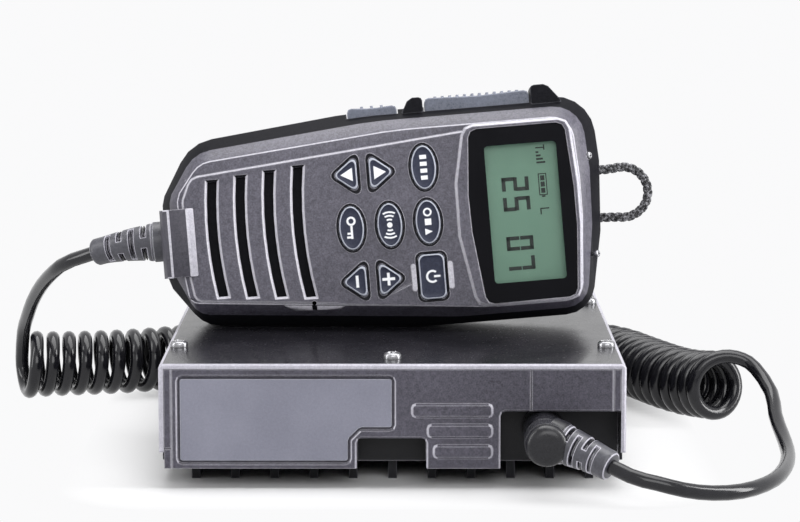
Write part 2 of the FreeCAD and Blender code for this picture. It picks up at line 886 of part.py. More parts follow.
def make_dc_power_inlet():
    y = half_depth
    half_w = inlet_width / 2
    half_h = inlet_height / 2
    body = box(inlet_x - half_w, inlet_x + half_w, y - rear_wall - 3, y + 7, inlet_z - half_h,
               inlet_z + half_h)
    flange = box(inlet_x - half_w - 3, inlet_x + half_w + 3, y, y + 2, inlet_z - half_h - 2,
                 inlet_z + half_h + 2)
    cavity = box(inlet_x - half_w + 1.5, inlet_x + half_w - 1.5, y - 3, y + 8,
                 inlet_z - half_h + 1.5, inlet_z + half_h - 1.5)
    tip_y = y + inlet_blade_reach
    blades = [box(inlet_x - 5.0, inlet_x - 1.8, y - 4, tip_y, inlet_z - 0.6, inlet_z + 0.6),
              box(inlet_x + 2.6, inlet_x + 3.8, y - 4, tip_y, inlet_z - 1.6, inlet_z + 1.6)]
    return join([body.fuse(flange).cut(cavity)] + blades)


def make_speaker_jack():
    y = half_depth
    body = box(speaker_jack_x - 5, speaker_jack_x + 5, y - rear_wall - 12, y - rear_wall - seat_gap,
               speaker_jack_z - 5, speaker_jack_z + 5)
    barrel = rod(V(speaker_jack_x, y - rear_wall - 1, speaker_jack_z), BACK,
                 speaker_barrel_radius, rear_wall + 3, small_sides)
    nut = rod(V(speaker_jack_x, y + seat_gap, speaker_jack_z), BACK, 4.8, 1.6, 6)
    bore = rod(V(speaker_jack_x, y - rear_wall - 9, speaker_jack_z), BACK, speaker_jack_bore, 20)
    return join([body, barrel, nut]).cut(bore)


# Handset

def parting_outline():
    return [
        (-cord_end, -nose_low, nose_radius),
        (-tail_x, -tail_low, tail_radius),
        (waist_low_x, -head_low, soft_radius),
        (head_end - 7.1, -head_low, head_radius_low),
        (head_end, 4.0, soft_radius * 2),
        (head_end - 2.1, head_high, head_radius_high),
        (waist_high_x, head_high, soft_radius * 2),
        (-tail_x, tail_high, head_radius_high + 1),
        (-cord_end, nose_high, nose_radius),
    ]


def rim_outline():
    return [
        (-cord_end + cord_bevel, -nose_low + 5.0, nose_radius - 2),
        (-tail_x - 3.2, -tail_low + tail_bevel_low, 3.0),
        (waist_low_x + 20.0, -head_low + head_bevel_low, soft_radius),
        (head_end - head_end_bevel - 2.4, -head_low + head_bevel_low, head_radius_low - 4.5),
        (head_end - head_end_bevel, 4.0, soft_radius * 2),
        (head_end - head_end_bevel - 1.6, head_high - head_bevel_high, head_radius_high - 6),
        (waist_high_x + 14.0, head_high - head_bevel_high, soft_radius * 2),
        (-tail_x + 3.0, tail_high - tail_bevel_high, head_radius_high - 5),
        (-cord_end + cord_bevel, nose_high + 0.5, nose_radius - 2),
    ]


def shoulder_outline():
    return mixed(rim_outline(), parting_outline(), 0.5)


def face_outline():
    # the slightly raised face that holds the grille and the keys
    left = -cord_end + cord_bevel + 1.0
    low_left = -tail_low + tail_bevel_low + 0.3
    low_right = -head_low + head_bevel_low + 0.3
    return [
        (left + 0.6, -9.0, 3.0),
        (left + 2.2, low_left, 2.5),
        (waist_low_x + 20.0, low_right, soft_radius),
        (waist_low_x + 22.0, head_high - head_bevel_high - 1.4, 4.0),
        (left + 3.6, 20.4, 4.0),
        (left + 0.4, 13.0, 3.0),
    ]


def window_outline(growth):
    corners = [
        (28.9, -27.6, 2.6),
        (57.6, -27.2, 2.6),
        (59.6, 1.0, 90.0),
        (57.6, 28.0, 2.6),
        (27.4, 28.0, 2.6),
        (25.4, 1.5, 60.0),
    ]
    return inset(corners, -growth)


def head_frame_outline():
    return [
        (25.6, -28.4, 4.0),
        (head_end - head_end_bevel - 2.6, -28.4, 3.6),
        (head_end - head_end_bevel - 0.2, 2.0, 90.0),
        (head_end - head_end_bevel - 2.2, 29.7, 4.0),
        (25.4, 29.7, 4.0),
        (20.0, 3.0, 45.0),
    ]


def display_opening():
    return rectangle(31.4, 55.2, -21.8, 22.8, 1.5)


def placed(shape):
    # from the handset's own frame to where it stands on the cover
    turn = FreeCAD.Rotation(RIGHT, 90 - handset_lean)
    turn = turn.multiply(FreeCAD.Rotation(UP, handset_roll))
    lowest = turn.multVec(V(waist_low_x, -head_low, -front_depth))
    origin = V(handset_x, handset_y, cover_top + seat_gap - lowest.z)
    result = shape.copy()
    result.Placement = FreeCAD.Placement(origin, turn).multiply(result.Placement)
    return result


def world_point(point):
    return placed(Part.Vertex(point)).Vertexes[0].Point


def side_opening(left, right, front, back):
    return box(left - slide_gap, right + slide_gap, 29.0, 50.0, -back - slide_gap,
               -front + slide_gap)


def guard_humps(z0, z1):
    rear = [(6.6, head_high - 1.8, 0.5), (ptt_left - 0.6, head_high - 1.8, 0.5),
            (ptt_left - 0.6, ptt_top, 1.2), (9.2, ptt_top, 2.0)]
    front = [(ptt_right + 0.6, head_high - 2.1, 0.5), (58.5, head_high - 2.1, 0.5),
             (53.6, ptt_top + 0.9, 2.0), (ptt_right + 0.6, ptt_top + 0.9, 1.2)]
    return [prism(rear, z0, z1), prism(front, z0, z1)]


def slot_shape(index, growth, z):
    # the corners of one curved grille slot: two bowed sides and two straight ends
    middle_x = first_slot_x + index * slot_pitch
    half = first_slot_half + index * slot_growth + growth
    centre_x = middle_x + slot_bow

    def bowed(radius, turn):
        ys = [turn * half * (2 * i / slot_flats - 1) for i in range(slot_flats + 1)]
        return [V(centre_x - math.sqrt(radius ** 2 - (y - slot_tilt) ** 2), y, z) for y in ys]

    return bowed(slot_bow + slot_width / 2 + growth, 1) \
        + bowed(slot_bow - slot_width / 2 - growth, -1)


def slot_cut(index):
    return flat_loft([slot_shape(index, 0, -face_wall - 2), slot_shape(index, 0, -slot_chamfer),
                      slot_shape(index, slot_chamfer, 0), slot_shape(index, slot_chamfer, 1)])


def triangle(tip_x, base_x, y, half):
    corners = [(base_x, y - half, triangle_radius), (base_x, y + half, triangle_radius),
               (tip_x, y, triangle_radius + 0.3)]
    if tip_x > base_x:
        corners = [corners[0], corners[2], corners[1]]
    return corners


key_outlines = {
    "key_down": triangle(triangle_inner_x - triangle_depth, triangle_inner_x, key_pitch_y - 0.4,
                         triangle_half),
    "key_up": triangle(triangle_outer_x + triangle_depth, triangle_outer_x, key_pitch_y - 0.4,
                       triangle_half),
    "key_minus": triangle(triangle_inner_x - triangle_depth + 0.3, triangle_inner_x + 0.3,
                          -key_pitch_y + 0.3, triangle_half),
    "key_plus": triangle(triangle_outer_x + triangle_depth + 0.4, triangle_outer_x + 0.4,
                         -key_pitch_y + 0.3, triangle_half),
    "key_power": rectangle(key_pitch_x - power_width / 2, key_pitch_x + power_width / 2,
                           -key_pitch_y - power_height / 2, -key_pitch_y + power_height / 2, 2.0),
}
key_ovals = {
    "key_function": (key_pitch_x, key_pitch_y),
    "key_lock": (-key_pitch_x, 0.0),
    "key_call": (0.0, 0.0),
    "key_mode": (key_pitch_x, 0.0),
}


def key_ring(name, growth, z):
    if name in key_outlines:
        return rounded(inset(key_outlines[name], -growth), z, corner_facets(key_outlines[name]))
    x, y = key_ovals[name]
    points = []
    for i in range(oval_sides):
        angle = 2 * math.pi * (i + 0.5) / oval_sides
        points.append(V(x + (oval_width / 2 + growth) * math.cos(angle),
                        y + (oval_height / 2 + growth) * math.sin(angle), z))
    return points


def key_names():
    return list(key_outlines) + list(key_ovals)


def key_hole(name):
    section = Part.Face(closed(key_ring(name, key_gap, -face_wall - 1)))
    return section.extrude(V(0, 0, face_wall + 2))


def make_key(name):
    bottom = -face_wall - seat_gap - key_foot
    return flat_loft([
        key_ring(name, key_lip, bottom), key_ring(name, key_lip, bottom + key_foot),
        key_ring(name, 0, bottom + key_foot), key_ring(name, 0, key_rise - 0.3),
        key_ring(name, -0.5, key_rise),
    ])


def shell_screw_places():
    return shell_screw_spots


def board_boss_places():
    return [(board_boss_left_x, board_boss_left_y), (board_boss_left_x, -board_boss_left_y),
            (board_boss_right_x, board_boss_right_y), (board_boss_right_x, -board_boss_right_y)]


def head_end_screw_seats():
    # on the sloping wall at the head's end
    slope = math.atan2(front_depth - rim_drop, head_end_bevel)
    normal = V(math.sin(slope), 0, math.cos(slope))
    seats = []
    for y in (end_screw_high, end_screw_low):
        x = head_end - head_end_bevel * (1 - end_screw_share) - end_screw_setback
        z = -rim_drop - (front_depth - rim_drop) * end_screw_share
        seats.append((V(x, y, z), normal))
    return seats


def boot_hole(radius):
    return rod(V(-cord_end - 3, boot_axis_y, boot_axis_z), RIGHT, radius, 8.0, shown_sides)


def make_handset_front_shell():
    outer = layered([(parting_outline(), -front_depth), (shoulder_outline(), -shoulder_depth),
                     (rim_outline(), -rim_drop)])
    face = layered([(face_outline(), -rim_drop - 0.4), (face_outline(), -rim_drop),
                    (inset(face_outline(), 0.5), 0)])
    frame = head_frame_outline()
    head = layered([(frame, -rim_drop - 0.4), (frame, 0.0),
                    (inset(frame, 0.7), head_frame_rise)])
    outer = join([outer, face, head] + guard_humps(-front_depth, -ptt_front + 1.6))
    hollow = layered([(inset(parting_outline(), shell_wall), -front_depth - 0.01),
                      (inset(shoulder_outline(), shell_wall), -shoulder_depth - 0.5),
                      (inset(rim_outline(), shell_wall - 0.4), -face_wall)])
    shell = outer.cut(hollow)
    bosses = [rod(V(x, y, -face_wall + 0.5), UP * -1, shell_boss_radius,
                  front_depth - face_wall + 0.5, hidden_sides) for x, y in shell_screw_places()]
    bosses += [rod(V(x, y, -face_wall + 0.5), UP * -1, board_boss_radius,
                   handset_board_depth - face_wall + 0.5 - seat_gap / 2, hidden_sides)
               for x, y in board_boss_places()]
    guards = []
    for side in (-1, 1):
        x = key_pitch_x + side * (power_width / 2 + 1.6)
        outline = rectangle(x - guard_bar_width / 2, x + guard_bar_width / 2,
                            -key_pitch_y - guard_bar_height / 2,
                            -key_pitch_y + guard_bar_height / 2, 0.6)
        guards.append(prism(outline, -0.5, guard_bar_rise))
    shell = join([shell] + bosses + guards)
    cuts = [slot_cut(i) for i in range(slot_count)]
    cuts += [key_hole(name) for name in key_names()]
    window_floor = window_rise - window_thickness
    cuts.append(prism(window_outline(0.15), window_floor, 5))
    cuts.append(prism(display_opening(), -face_wall - 2, 5))
    cuts.append(side_opening(ptt_left, ptt_right, ptt_front, ptt_back))
    cuts.append(side_opening(side_button_left, side_button_right, ptt_front, ptt_back))
    cuts.append(boot_hole(boot_neck_radius + seat_gap))
    cuts.append(rod(V(microphone_x, microphone_y - 2.6, 2), UP * -1, 0.7, 8, hidden_sides))
    scoop_radius = 36.0
    cuts.append(Part.makeSphere(scoop_radius, V(microphone_x, microphone_y - 5.4
                                                - scoop_radius * 0.70,
                                                -1.6 + scoop_radius * 0.714)))
    for x, y in shell_screw_places():
        cuts.append(rod(V(x, y, -front_depth - 1), UP, shell_screw_radius + bolt_gap,
                        front_depth - face_wall - 0.5, shank_sides))
    for x, y in board_boss_places():
        cuts.append(rod(V(x, y, handset_board_top - 1), UP, board_pin_radius + bolt_gap, 3.2,
                        shank_sides))
    for seat, normal in head_end_screw_seats():
        cuts.append(rod(seat, normal, end_screw_head_radius + bolt_gap, 4.0, small_sides))
        cuts.append(rod(seat, normal * -1, end_screw_radius + bolt_gap, 4.0, shank_sides))
    cuts.append(rod(V(-cord_end + 8, earphone_y, earphone_z), RIGHT * -1, 1.9, 12.0, small_sides))
    return shell.cut(Part.makeCompound(cuts))


def make_handset_back_shell():
    outline = parting_outline()
    draft = back_draft_depth * math.tan(math.radians(handset_lean))
    low = -front_depth - back_draft_depth
    rounding = low - back_round_depth
    bottom = -handset_thickness
    outer = layered([(outline, -front_depth), (inset(outline, draft), low),
                     (inset(outline, draft + 3.2), rounding),
                     (inset(outline, draft + 8.2), bottom)])
    outer = join([outer] + guard_humps(-ptt_back - 1.0, -front_depth))
    wall = shell_wall
    hollow = layered([(inset(outline, wall), -front_depth + 0.01),
                      (inset(outline, draft + wall), low),
                      (inset(outline, draft + wall + 3.4), rounding + 1.0),
                      (inset(outline, draft + wall + 7.0), bottom + wall)], 2)
    shell = outer.cut(hollow)
    tubes = []
    for x, y in shell_screw_places():
        tubes.append(rod(V(x, y, bottom + wall - 1), UP, shell_tube_radius,
                         handset_thickness - front_depth - wall + 1, hidden_sides))
    for x in (-6.0, 38.0):
        tubes.append(box(x, x + 2.0, switch_board_y - 2, switch_board_y + 3.4, bottom + wall - 1,
                         -ptt_back - seat_gap))
    shell = join([shell] + [tube.common(outer) for tube in tubes])
    cuts = [side_opening(ptt_left, ptt_right, ptt_front, ptt_back),
            side_opening(side_button_left, side_button_right, ptt_front, ptt_back),
            boot_hole(boot_neck_radius + seat_gap)]
    for x, y in shell_screw_places():
        cuts.append(rod(V(x, y, bottom - 1), UP, shell_screw_head_radius + slide_gap,
                        shell_screw_depth + 1, small_sides))
        cuts.append(rod(V(x, y, bottom), UP, shell_screw_radius + bolt_gap, handset_thickness,
                        shank_sides))
    for end_y in (loop_y - loop_end_spread(), loop_y + loop_end_spread()):
        cuts.append(rod(V(head_end + 3, end_y, loop_z), RIGHT * -1,
                        loop_cord_diameter / 2 + seat_gap, 8.0, hidden_sides))
    for i in range(5):
        y = -12.0 + i * 6.0
        cuts.append(prism(rectangle(-46.0, -10.0, y - 1.0, y + 1.0, 0.9), bottom - 1,
                          bottom + 0.7))
    return shell.cut(Part.makeCompound(cuts))


def make_handset_screws():
    seat_z = -handset_thickness + shell_screw_depth
    return Part.makeCompound([
        pan_screw(V(x, y, seat_z), UP * -1, shell_screw_head_radius, 1.5, shell_screw_radius,
                  20.0, hidden_sides)
        for x, y in shell_screw_places()])


def make_handset_board_screws():
    return Part.makeCompound([
        pan_screw(V(x, y, handset_board_bottom), UP * -1, 1.7, 1.2, board_pin_radius, 3.6,
                  hidden_sides)
        for x, y in board_boss_places()])


def make_head_end_screws():
    return Part.makeCompound([
        pan_screw(seat + normal * 0.05, normal, end_screw_head_radius, 1.1, end_screw_radius,
                  3.2, small_sides)
        for seat, normal in head_end_screw_seats()])


def make_display_window():
    return prism(window_outline(0), window_rise - window_thickness, window_rise)


def make_lcd_panel():
    top = -face_wall - seat_gap
    return box(panel_left, panel_right, panel_low, panel_high, top - panel_glass_thickness, top)


def make_lcd_holder():
    top = -face_wall - seat_gap / 2
    left, right = panel_left - panel_gap, panel_right + panel_gap
    low, high = panel_low - panel_gap, panel_high + panel_gap
    holder = box(left - holder_left_wall, right + holder_right_wall, low - holder_low_wall,
                 high + holder_high_wall, handset_board_top, top)
    holder = holder.cut(box(left, right, low, high, handset_board_top - 1, top + 1))
    cuts = [rod(V(x, y, handset_board_top - 1), UP, shell_boss_radius + boss_gap, 6,
                hidden_sides) for x, y in shell_screw_places()]
    return holder.cut(Part.makeCompound(cuts))


def make_handset_board():
    outline = rectangle(board_boss_left_x - board_left_margin, panel_right + board_right_margin,
                        panel_low + board_low_inset, panel_high + board_high_margin, board_corner)
    board = prism(outline, handset_board_bottom, handset_board_top)
    cuts = [rod(V(x, y, -handset_thickness), UP, shell_boss_radius + boss_gap, handset_thickness,
                hidden_sides)
            for x, y in shell_screw_places()]
    cuts += [rod(V(x, y, handset_board_bottom - 1), UP, board_pin_radius + bolt_gap, 4,
                 shank_sides) for x, y in board_boss_places()]
    return board.cut(Part.makeCompound(cuts))


def make_keypad_mat():
    reach_x = key_pitch_x + oval_width / 2
    reach_y = key_pitch_y + oval_height / 2
    outline = rectangle(-reach_x - mat_left_margin, reach_x + mat_right_margin,
                        -reach_y + mat_low_inset, reach_y - mat_high_inset, mat_corner)
    mat = prism(outline, handset_board_top, handset_board_top + mat_thickness)
    cuts = [rod(V(x, y, handset_board_top - 1), UP, board_boss_radius + boss_gap, 4, hidden_sides)
            for x, y in board_boss_places()]
    return mat.cut(Part.makeCompound(cuts))


def make_speaker_cloth():
    # dust cloth behind the whole grille
    top = -face_wall - seat_gap / 2
    left = first_slot_x - slot_width / 2 - cloth_margin
    right = first_slot_x + (slot_count - 1) * slot_pitch + slot_width / 2 + cloth_head_margin
    outline = [(left, -first_slot_half, cloth_corner), (right, -cloth_head_half, cloth_corner),
               (right, cloth_head_half, cloth_corner), (left, first_slot_half, cloth_corner)]
    return prism(outline, top - cloth_thickness, top)


def make_speaker_driver():
    top = -face_wall - cloth_thickness - seat_gap
    body = turned(V(speaker_x, speaker_y, top), UP * -1,
                  [(0, speaker_radius), (2.0, speaker_radius), (2.1, speaker_radius - 1.0),
                   (5.4, 10.0), (5.5, 9.0), (speaker_height, 9.0)], shown_sides)
    dish = turned(V(speaker_x, speaker_y, top), UP * -1,
                  [(0, speaker_radius - 1.5), (1.6, 3.5)], shown_sides)
    return body.cut(dish)


def make_microphone_element():
    top = -face_wall - cloth_thickness - seat_gap
    return rod(V(microphone_x, microphone_y + 1.4, top), UP * -1, 2.4, 2.6, small_sides)


def button_body(left, right, top, rib_count):
    outline = [(left, button_foot, 0.4), (right, button_foot, 0.4), (right, top - 0.4, 1.4),
               ((left + right) / 2, top - 1.0, (right - left) * 1.4), (left, top - 0.4, 1.4)]
    body = prism(outline, -ptt_back, -ptt_front)
    lip = box(left - button_lip, right + button_lip, button_foot - 0.1, button_foot + 0.8, -18.8,
              -10.8)
    ribs = []
    for i in range(rib_count):
        x = left + (right - left) * (i + 1.5) / (rib_count + 2)
        ribs.append(box(x - 0.45, x + 0.45, top - 3.0, top - 0.6 + grip_rib_rise, -ptt_back + 1.2,
                        -ptt_front - 1.0))
    return join([body, lip] + ribs)


def make_ptt_button():
    return button_body(ptt_left, ptt_right, ptt_top, grip_rib_count)


def make_side_button():
    return button_body(side_button_left, side_button_right, side_button_top, 3)


def make_switch_board():
    return box(side_button_left - 1.5, ptt_right, switch_board_y, switch_board_y + 1.4, -ptt_back,
               -ptt_front)


def switch_body(middle_x):
    bottom = switch_board_y + 1.4
    body = box(middle_x - 3, middle_x + 3, bottom, bottom + switch_height, -19.0, -13.0)
    plunger = rod(V(middle_x, bottom + switch_height - 0.1, -16.0), BACK, 1.5, 0.5, hidden_sides)
    return body.fuse(plunger)


def make_ptt_switch():
    return switch_body((ptt_left + ptt_right) / 2)


def make_side_switch():
    return switch_body((side_button_left + side_button_right) / 2)


def jack_cover_profile(y, drop):
    # drop is how far the outer side is drawn in
    face_x = -cord_end + cord_bevel
    return [
        V(face_x + 5.0 - drop, y, seat_gap),
        V(face_x + 3.6 - drop, y, jack_cover_rise - drop),
        V(face_x - 3.2, y, jack_cover_rise - drop),
        V(face_x - 7.7 + drop, y, -3.2),
        V(face_x - 7.7 + drop, y, -9.7),
        V(face_x - 6.4, y, -9.7),
        V(face_x - 3.7, y, -shoulder_depth),
        V(face_x - 0.5, y, seat_gap),
    ]


def make_jack_cover():
    low = -jack_cover_low
    high = jack_cover_high
    return flat_loft([
        jack_cover_profile(low, jack_cover_edge),
        jack_cover_profile(low + jack_cover_edge, 0),
        jack_cover_profile(high - jack_cover_edge, 0),
        jack_cover_profile(high, jack_cover_edge),
    ])


def make_earphone_jack():
    start = V(-cord_end + 5.6, earphone_y, earphone_z)
    body = rod(start, RIGHT, 2.5, 6.6, small_sides)
    return body.cut(rod(start - RIGHT, RIGHT, 1.25, 6.6, small_sides))


def make_hanger_stud():
    return turned(V(hanger_x, 0, -handset_thickness), UP * -1,
                  [(0, 3.5), (2.6, 3.5), (3.0, 6.4), (4.6, 6.4), (5.2, 5.6)], shown_sides)


def slotted_boot(arc, start_radius, end_radius):
    # a tapered sleeve along the arc, with slots round a core that let it bend; the webs beside
    # the slots stand crosswise by turns
    length = arc.Length
    stations = [(0.0, start_radius), (length * 0.4, start_radius * 0.6 + end_radius * 0.4),
                (length * 0.82, end_radius), (length - 0.6, end_radius),
                (length, end_radius - 0.5)]
    rings = []
    for distance, radius in stations:
        place = arc.getParameterByLength(distance)
        rings.append(ring(arc.valueAt(place), arc.tangentAt(place), radius, small_sides))
    body = flat_loft(rings)
    pitch = length * 0.82 / (boot_slots + 0.5)
    width = pitch * 0.46
    cuts = []
    for i in range(boot_slots):
        place = arc.getParameterByLength(pitch * (i + 0.55))
        reach = start_radius + 1
        slot = box(-reach, reach, -reach, reach, 0, width)
        slot = slot.cut(rod(V(0, 0, -1), UP, boot_core_radius, width + 2, hidden_sides))
        slot = slot.cut(box(-boot_web / 2, boot_web / 2, -reach - 1, reach + 1, -1, width + 1))
        if i % 2:
            slot.rotate(V(0, 0, 0), UP, 90)
        along = arc.tangentAt(place)
        across = along.cross(UP).normalize()
        slot.Placement = FreeCAD.Placement(
            arc.valueAt(place), FreeCAD.Rotation(across, along.cross(across), along)
        ).multiply(slot.Placement)
        cuts.append(slot)
    return body.cut(Part.makeCompound(cuts))


def handset_boot_arc():
    start = V(-cord_end - boot_sleeve_length, boot_axis_y, boot_axis_z)
    return arc_from(start, RIGHT * -1, boot_tip)


def make_handset_cord_boot():
    inner = V(-cord_end + shell_wall + boot_flange_setback, boot_axis_y, boot_axis_z)
    flange = rod(inner, RIGHT, boot_flange_radius, 1.6, shown_sides)
    neck = rod(inner + RIGHT, RIGHT * -1, boot_neck_radius,
               shell_wall + boot_flange_setback + boot_sleeve_length / 2, shown_sides)
    sleeve = rod(V(-cord_end - seat_gap, boot_axis_y, boot_axis_z), RIGHT * -1,
                 boot_sleeve_radius, boot_sleeve_length - seat_gap, shown_sides)
    bent = slotted_boot(handset_boot_arc(), boot_sleeve_radius - 0.3, boot_tip_radius)
    return join([flange, neck, sleeve, bent])


# Loop of cord that the handset hangs by

def loop_end_spread():
    return loop_radius - 0.6


def make_hanging_loop():
    # two straight ends, each led by a small arc into the big round of the loop
    spread = loop_end_spread()
    start_x = head_end - 3.6
    straight_x = head_end - 0.8
    centre_x = straight_x + 2.0 + loop_radius * 0.62
    rise = V(0, loop_y, loop_z)

    def at(x, y):
        return V(x, y, 0) + rise

    meeting = math.radians(loop_meeting)
    reach = loop_radius * math.cos(meeting)
    upper = at(centre_x + reach, loop_radius * math.sin(meeting))
    lead = arc_from(at(straight_x, spread), RIGHT, upper)
    points = [at(start_x, spread)] + lead.discretize(Number=4)
    for i in range(1, loop_flats):
        angle = meeting * (1 - 2 * i / loop_flats)
        points.append(at(centre_x + loop_radius * math.cos(angle), loop_radius * math.sin(angle)))
    mirrored = [V(p.x, 2 * loop_y - p.y, p.z) for p in reversed(points[:5])]
    path = Part.makePolygon(points + mirrored)
    section = closed(ring(points[0], RIGHT, loop_cord_diameter / 2, shank_sides))
    return path.makePipeShell([section], True, False, 1)


# Cord

def arc_from(start, heading, end):
    # the arc that leaves start along heading and ends at end
    chord = end - start
    normal = heading.cross(chord)
    towards = normal.cross(heading).normalize()
    radius = chord.dot(chord) / (2 * chord.dot(towards))
    centre = start + towards * radius
    halfway = ((start + end) * 0.5 - centre).normalize()
    return Part.Arc(start, centre + halfway * radius, end).toShape()


def run_and_arc_tube(points, diameter, name):
    # straight runs joined by tangent arcs, each arc as large as its two runs allow
    points = [V(*p) for p in points]
    edges = []
    radii = []
    last = points[0]
    for i in range(1, len(points) - 1):
        coming = points[i] - points[i - 1]
        going = points[i + 1] - points[i]
        half_turn = coming.getAngle(going) / 2
        reach = 0.45 * min(coming.Length, going.Length)
        radius = reach / math.tan(half_turn)
        radii.append(radius)
        inwards = (going.normalize() - coming.normalize()).normalize()
        first = points[i] - coming * reach
        end = points[i] + going * reach
        middle = points[i] + inwards * (radius / math.cos(half_turn) - radius)
        edges.append(Part.LineSegment(last, first).toShape())
        edges.append(Part.Arc(first, middle, end).toShape())
        last = end
    edges.append(Part.LineSegment(last, points[-1]).toShape())
    path = Part.Wire(edges)
    heading = (points[1] - points[0]).normalize()
    profile = closed(ring(points[0], heading, diameter / 2, lead_sides))
    tube = path.makePipeShell([profile], True, False)
    wanted = math.pi * diameter ** 2 / 4 * path.Length
    print(name, "length", round(path.Length, 1), "radii", [round(r, 1) for r in radii],
          "volume", round(tube.Volume, 1), "of", round(wanted, 1))
    return tube


def coil_axis():
    # the line that the curls wind round: a smooth curve drawn by its control points
    poles = [V(*point) for point in coil_axis_points]
    spans = len(poles) - 2
    curve = Part.BSplineCurve()
    curve.buildFromPolesMultsKnots(poles, [3] + [1] * (spans - 1) + [3], list(range(spans + 1)),
                                   False, 2)
    return curve


class Coil:
    # the curls: a left-hand winding that starts at the back of the first curl, with its curls a
    # set gap apart on the inside of each bend
    def __init__(self):
        curve = coil_axis()
        length = curve.length()
        steps = round(length)
        self.places = []
        passed = []
        turn = 0.0
        for i in range(steps + 1):
            place = curve.parameterAtDistance(length * i / steps * 0.99999, 0.0)
            gap = curl_gap_start + (curl_gap_end - curl_gap_start) * i / steps
            pitch = (cord_diameter + gap) / (1 - coil_radius * curve.curvature(place))
            self.places.append((curve.value(place), curve.tangent(place)[0].normalize()))
            passed.append(turn)
            turn += length / steps / pitch
        self.turns = round(passed[-1] - coil_end_share) + coil_end_share
        self.passed = [turn * self.turns / passed[-1] for turn in passed]

    def point(self, turn, widening=1.0):
        i = min(max(bisect.bisect_right(self.passed, turn), 1), len(self.passed) - 1)
        share = (turn - self.passed[i - 1]) / (self.passed[i] - self.passed[i - 1])
        centre = self.places[i - 1][0] * (1 - share) + self.places[i][0] * share
        heading = (self.places[i - 1][1] * (1 - share) + self.places[i][1] * share).normalize()
        outwards = heading.cross(UP).normalize()
        upwards = outwards.cross(heading)
        left = self.turns - turn
        radius = coil_radius + end_opening * (math.exp(-turn * end_opening_fade)
                                              + math.exp(-left * end_opening_fade))
        angle = 2 * math.pi * turn + math.pi
        pulled = heading * (end_stretch * max(0.0, 1 - 2 * left) ** 2)
        return centre + pulled + (outwards * math.cos(angle) + upwards * math.sin(angle)) \
            * (radius * widening)

    def corners(self):
        # straight runs cut inside the round, so their corners stand a little outside it
        runs = round(self.turns * curl_steps)
        widening = 1 / math.cos(math.pi / curl_steps) ** 0.5
        marks = [0.0] + [(i + 0.5) * self.turns / runs for i in range(runs)] + [self.turns]
        winding = [self.point(mark, widening) for mark in marks]
        into = ((winding[0] - winding[1]).normalize() + coil_start_lean).normalize()
        out = ((winding[-1] - winding[-2]).normalize() + coil_end_lean).normalize()
        return [winding[0] + into * straight_end] + winding + [winding[-1] + out * straight_end]


def make_cord_coil(coil):
    corners = coil.corners()
    path = Part.makePolygon(corners)
    heading = (corners[1] - corners[0]).normalize()
    section = closed(ring(corners[0], heading, cord_diameter / 2, curl_sides))
    tube = path.makePipeShell([section], True, False, 1)
    fine = [coil.point(i / 40) for i in range(int(coil.turns * 40))]
    least = min((fine[i] - fine[i + k]).Length for i in range(0, len(fine) - 50, 3)
                for k in range(30, 50))
    print("coil turns", coil.turns, "cord in it", round(path.Length), "least gap",
          round(least - cord_diameter, 2))
    return tube


def plug_boot_arc():
    return arc_from(plug_boot_start, V(plug_boot_aim).normalize(), plug_boot_end)


def make_plug_boot():
    return slotted_boot(plug_boot_arc(), plug_boot_start_radius, plug_boot_end_radius)


def make_mic_plug():
    recess_back = -half_depth + recess_depth
    socket_front = recess_back - 2.0
    body = turned(V(socket_x, plug_front_y, socket_z), BACK,
                  [(0, plug_radius - plug_edge), (plug_edge * 0.3, plug_radius - plug_edge * 0.3),
                   (plug_edge, plug_radius),
                   (socket_front - seat_gap - plug_front_y, plug_radius)], plug_sides)
    nose = rod(V(socket_x, socket_front - 1, socket_z), BACK, socket_bore - seat_gap,
               plug_nose_length, shown_sides)
    latch = box(socket_x - 3, socket_x + 3, plug_front_y + 12, socket_front - 2,
                socket_z - plug_radius - 1.2, socket_z - plug_radius + 1)
    arc = plug_boot_arc()
    outwards = arc.tangentAt(arc.FirstParameter)
    collar = rod(plug_boot_start, outwards * -1, plug_boot_start_radius + 0.3, 5.0, shown_sides)
    room = rod(plug_boot_start, outwards, plug_boot_start_radius + 3.0, 8.0, hidden_sides)
    return join([body, nose, latch, collar]).cut(room)


def lead_points_from_handset(coil):
    arc = handset_boot_arc()
    ahead = boot_tip + arc.tangentAt(arc.LastParameter) * 11.0
    corners = coil.corners()
    above = corners[0] + (corners[0] - corners[1]).normalize() * 9.6
    return [tuple(world_point(boot_tip)), tuple(world_point(ahead))] + handset_lead_points \
        + [tuple(above), tuple(corners[0])]


def lead_points_to_plug(coil):
    corners = coil.corners()
    beyond = corners[-1] + (corners[-1] - corners[-2]).normalize() * 9.5
    arc = plug_boot_arc()
    ahead = plug_boot_end + arc.tangentAt(arc.LastParameter) * 7.5
    return [tuple(corners[-1]), tuple(beyond)] + plug_lead_points \
        + [tuple(ahead), tuple(plug_boot_end)]


def write(name, shape):
    if shape.ShapeType == "Compound" and len(shape.Solids) == 1:
        shape = shape.Solids[0]
    if not shape.isValid():
        print("not valid:", name)
    shape.exportStep("parts/" + name + ".step")
    pieces[name] = shape


write("chassis", make_chassis())
write("top_cover", make_top_cover())
write("front_panel", make_front_panel())
write("name_plate", make_name_plate())
write("mic_jack", make_mic_jack())
write("front_board", make_front_board())
write("main_board", make_main_board())
write("board_screws", make_board_screws())
write("power_amplifier", make_power_amplifier())
write("shield_cans", make_shield_cans())
write("board_components", make_board_components())
write("cover_screws", make_cover_screws())
write("antenna_socket", make_antenna_socket())
write("antenna_socket_screws", make_antenna_socket_screws())
write("dc_power_inlet", make_dc_power_inlet())
write("speaker_jack", make_speaker_jack())

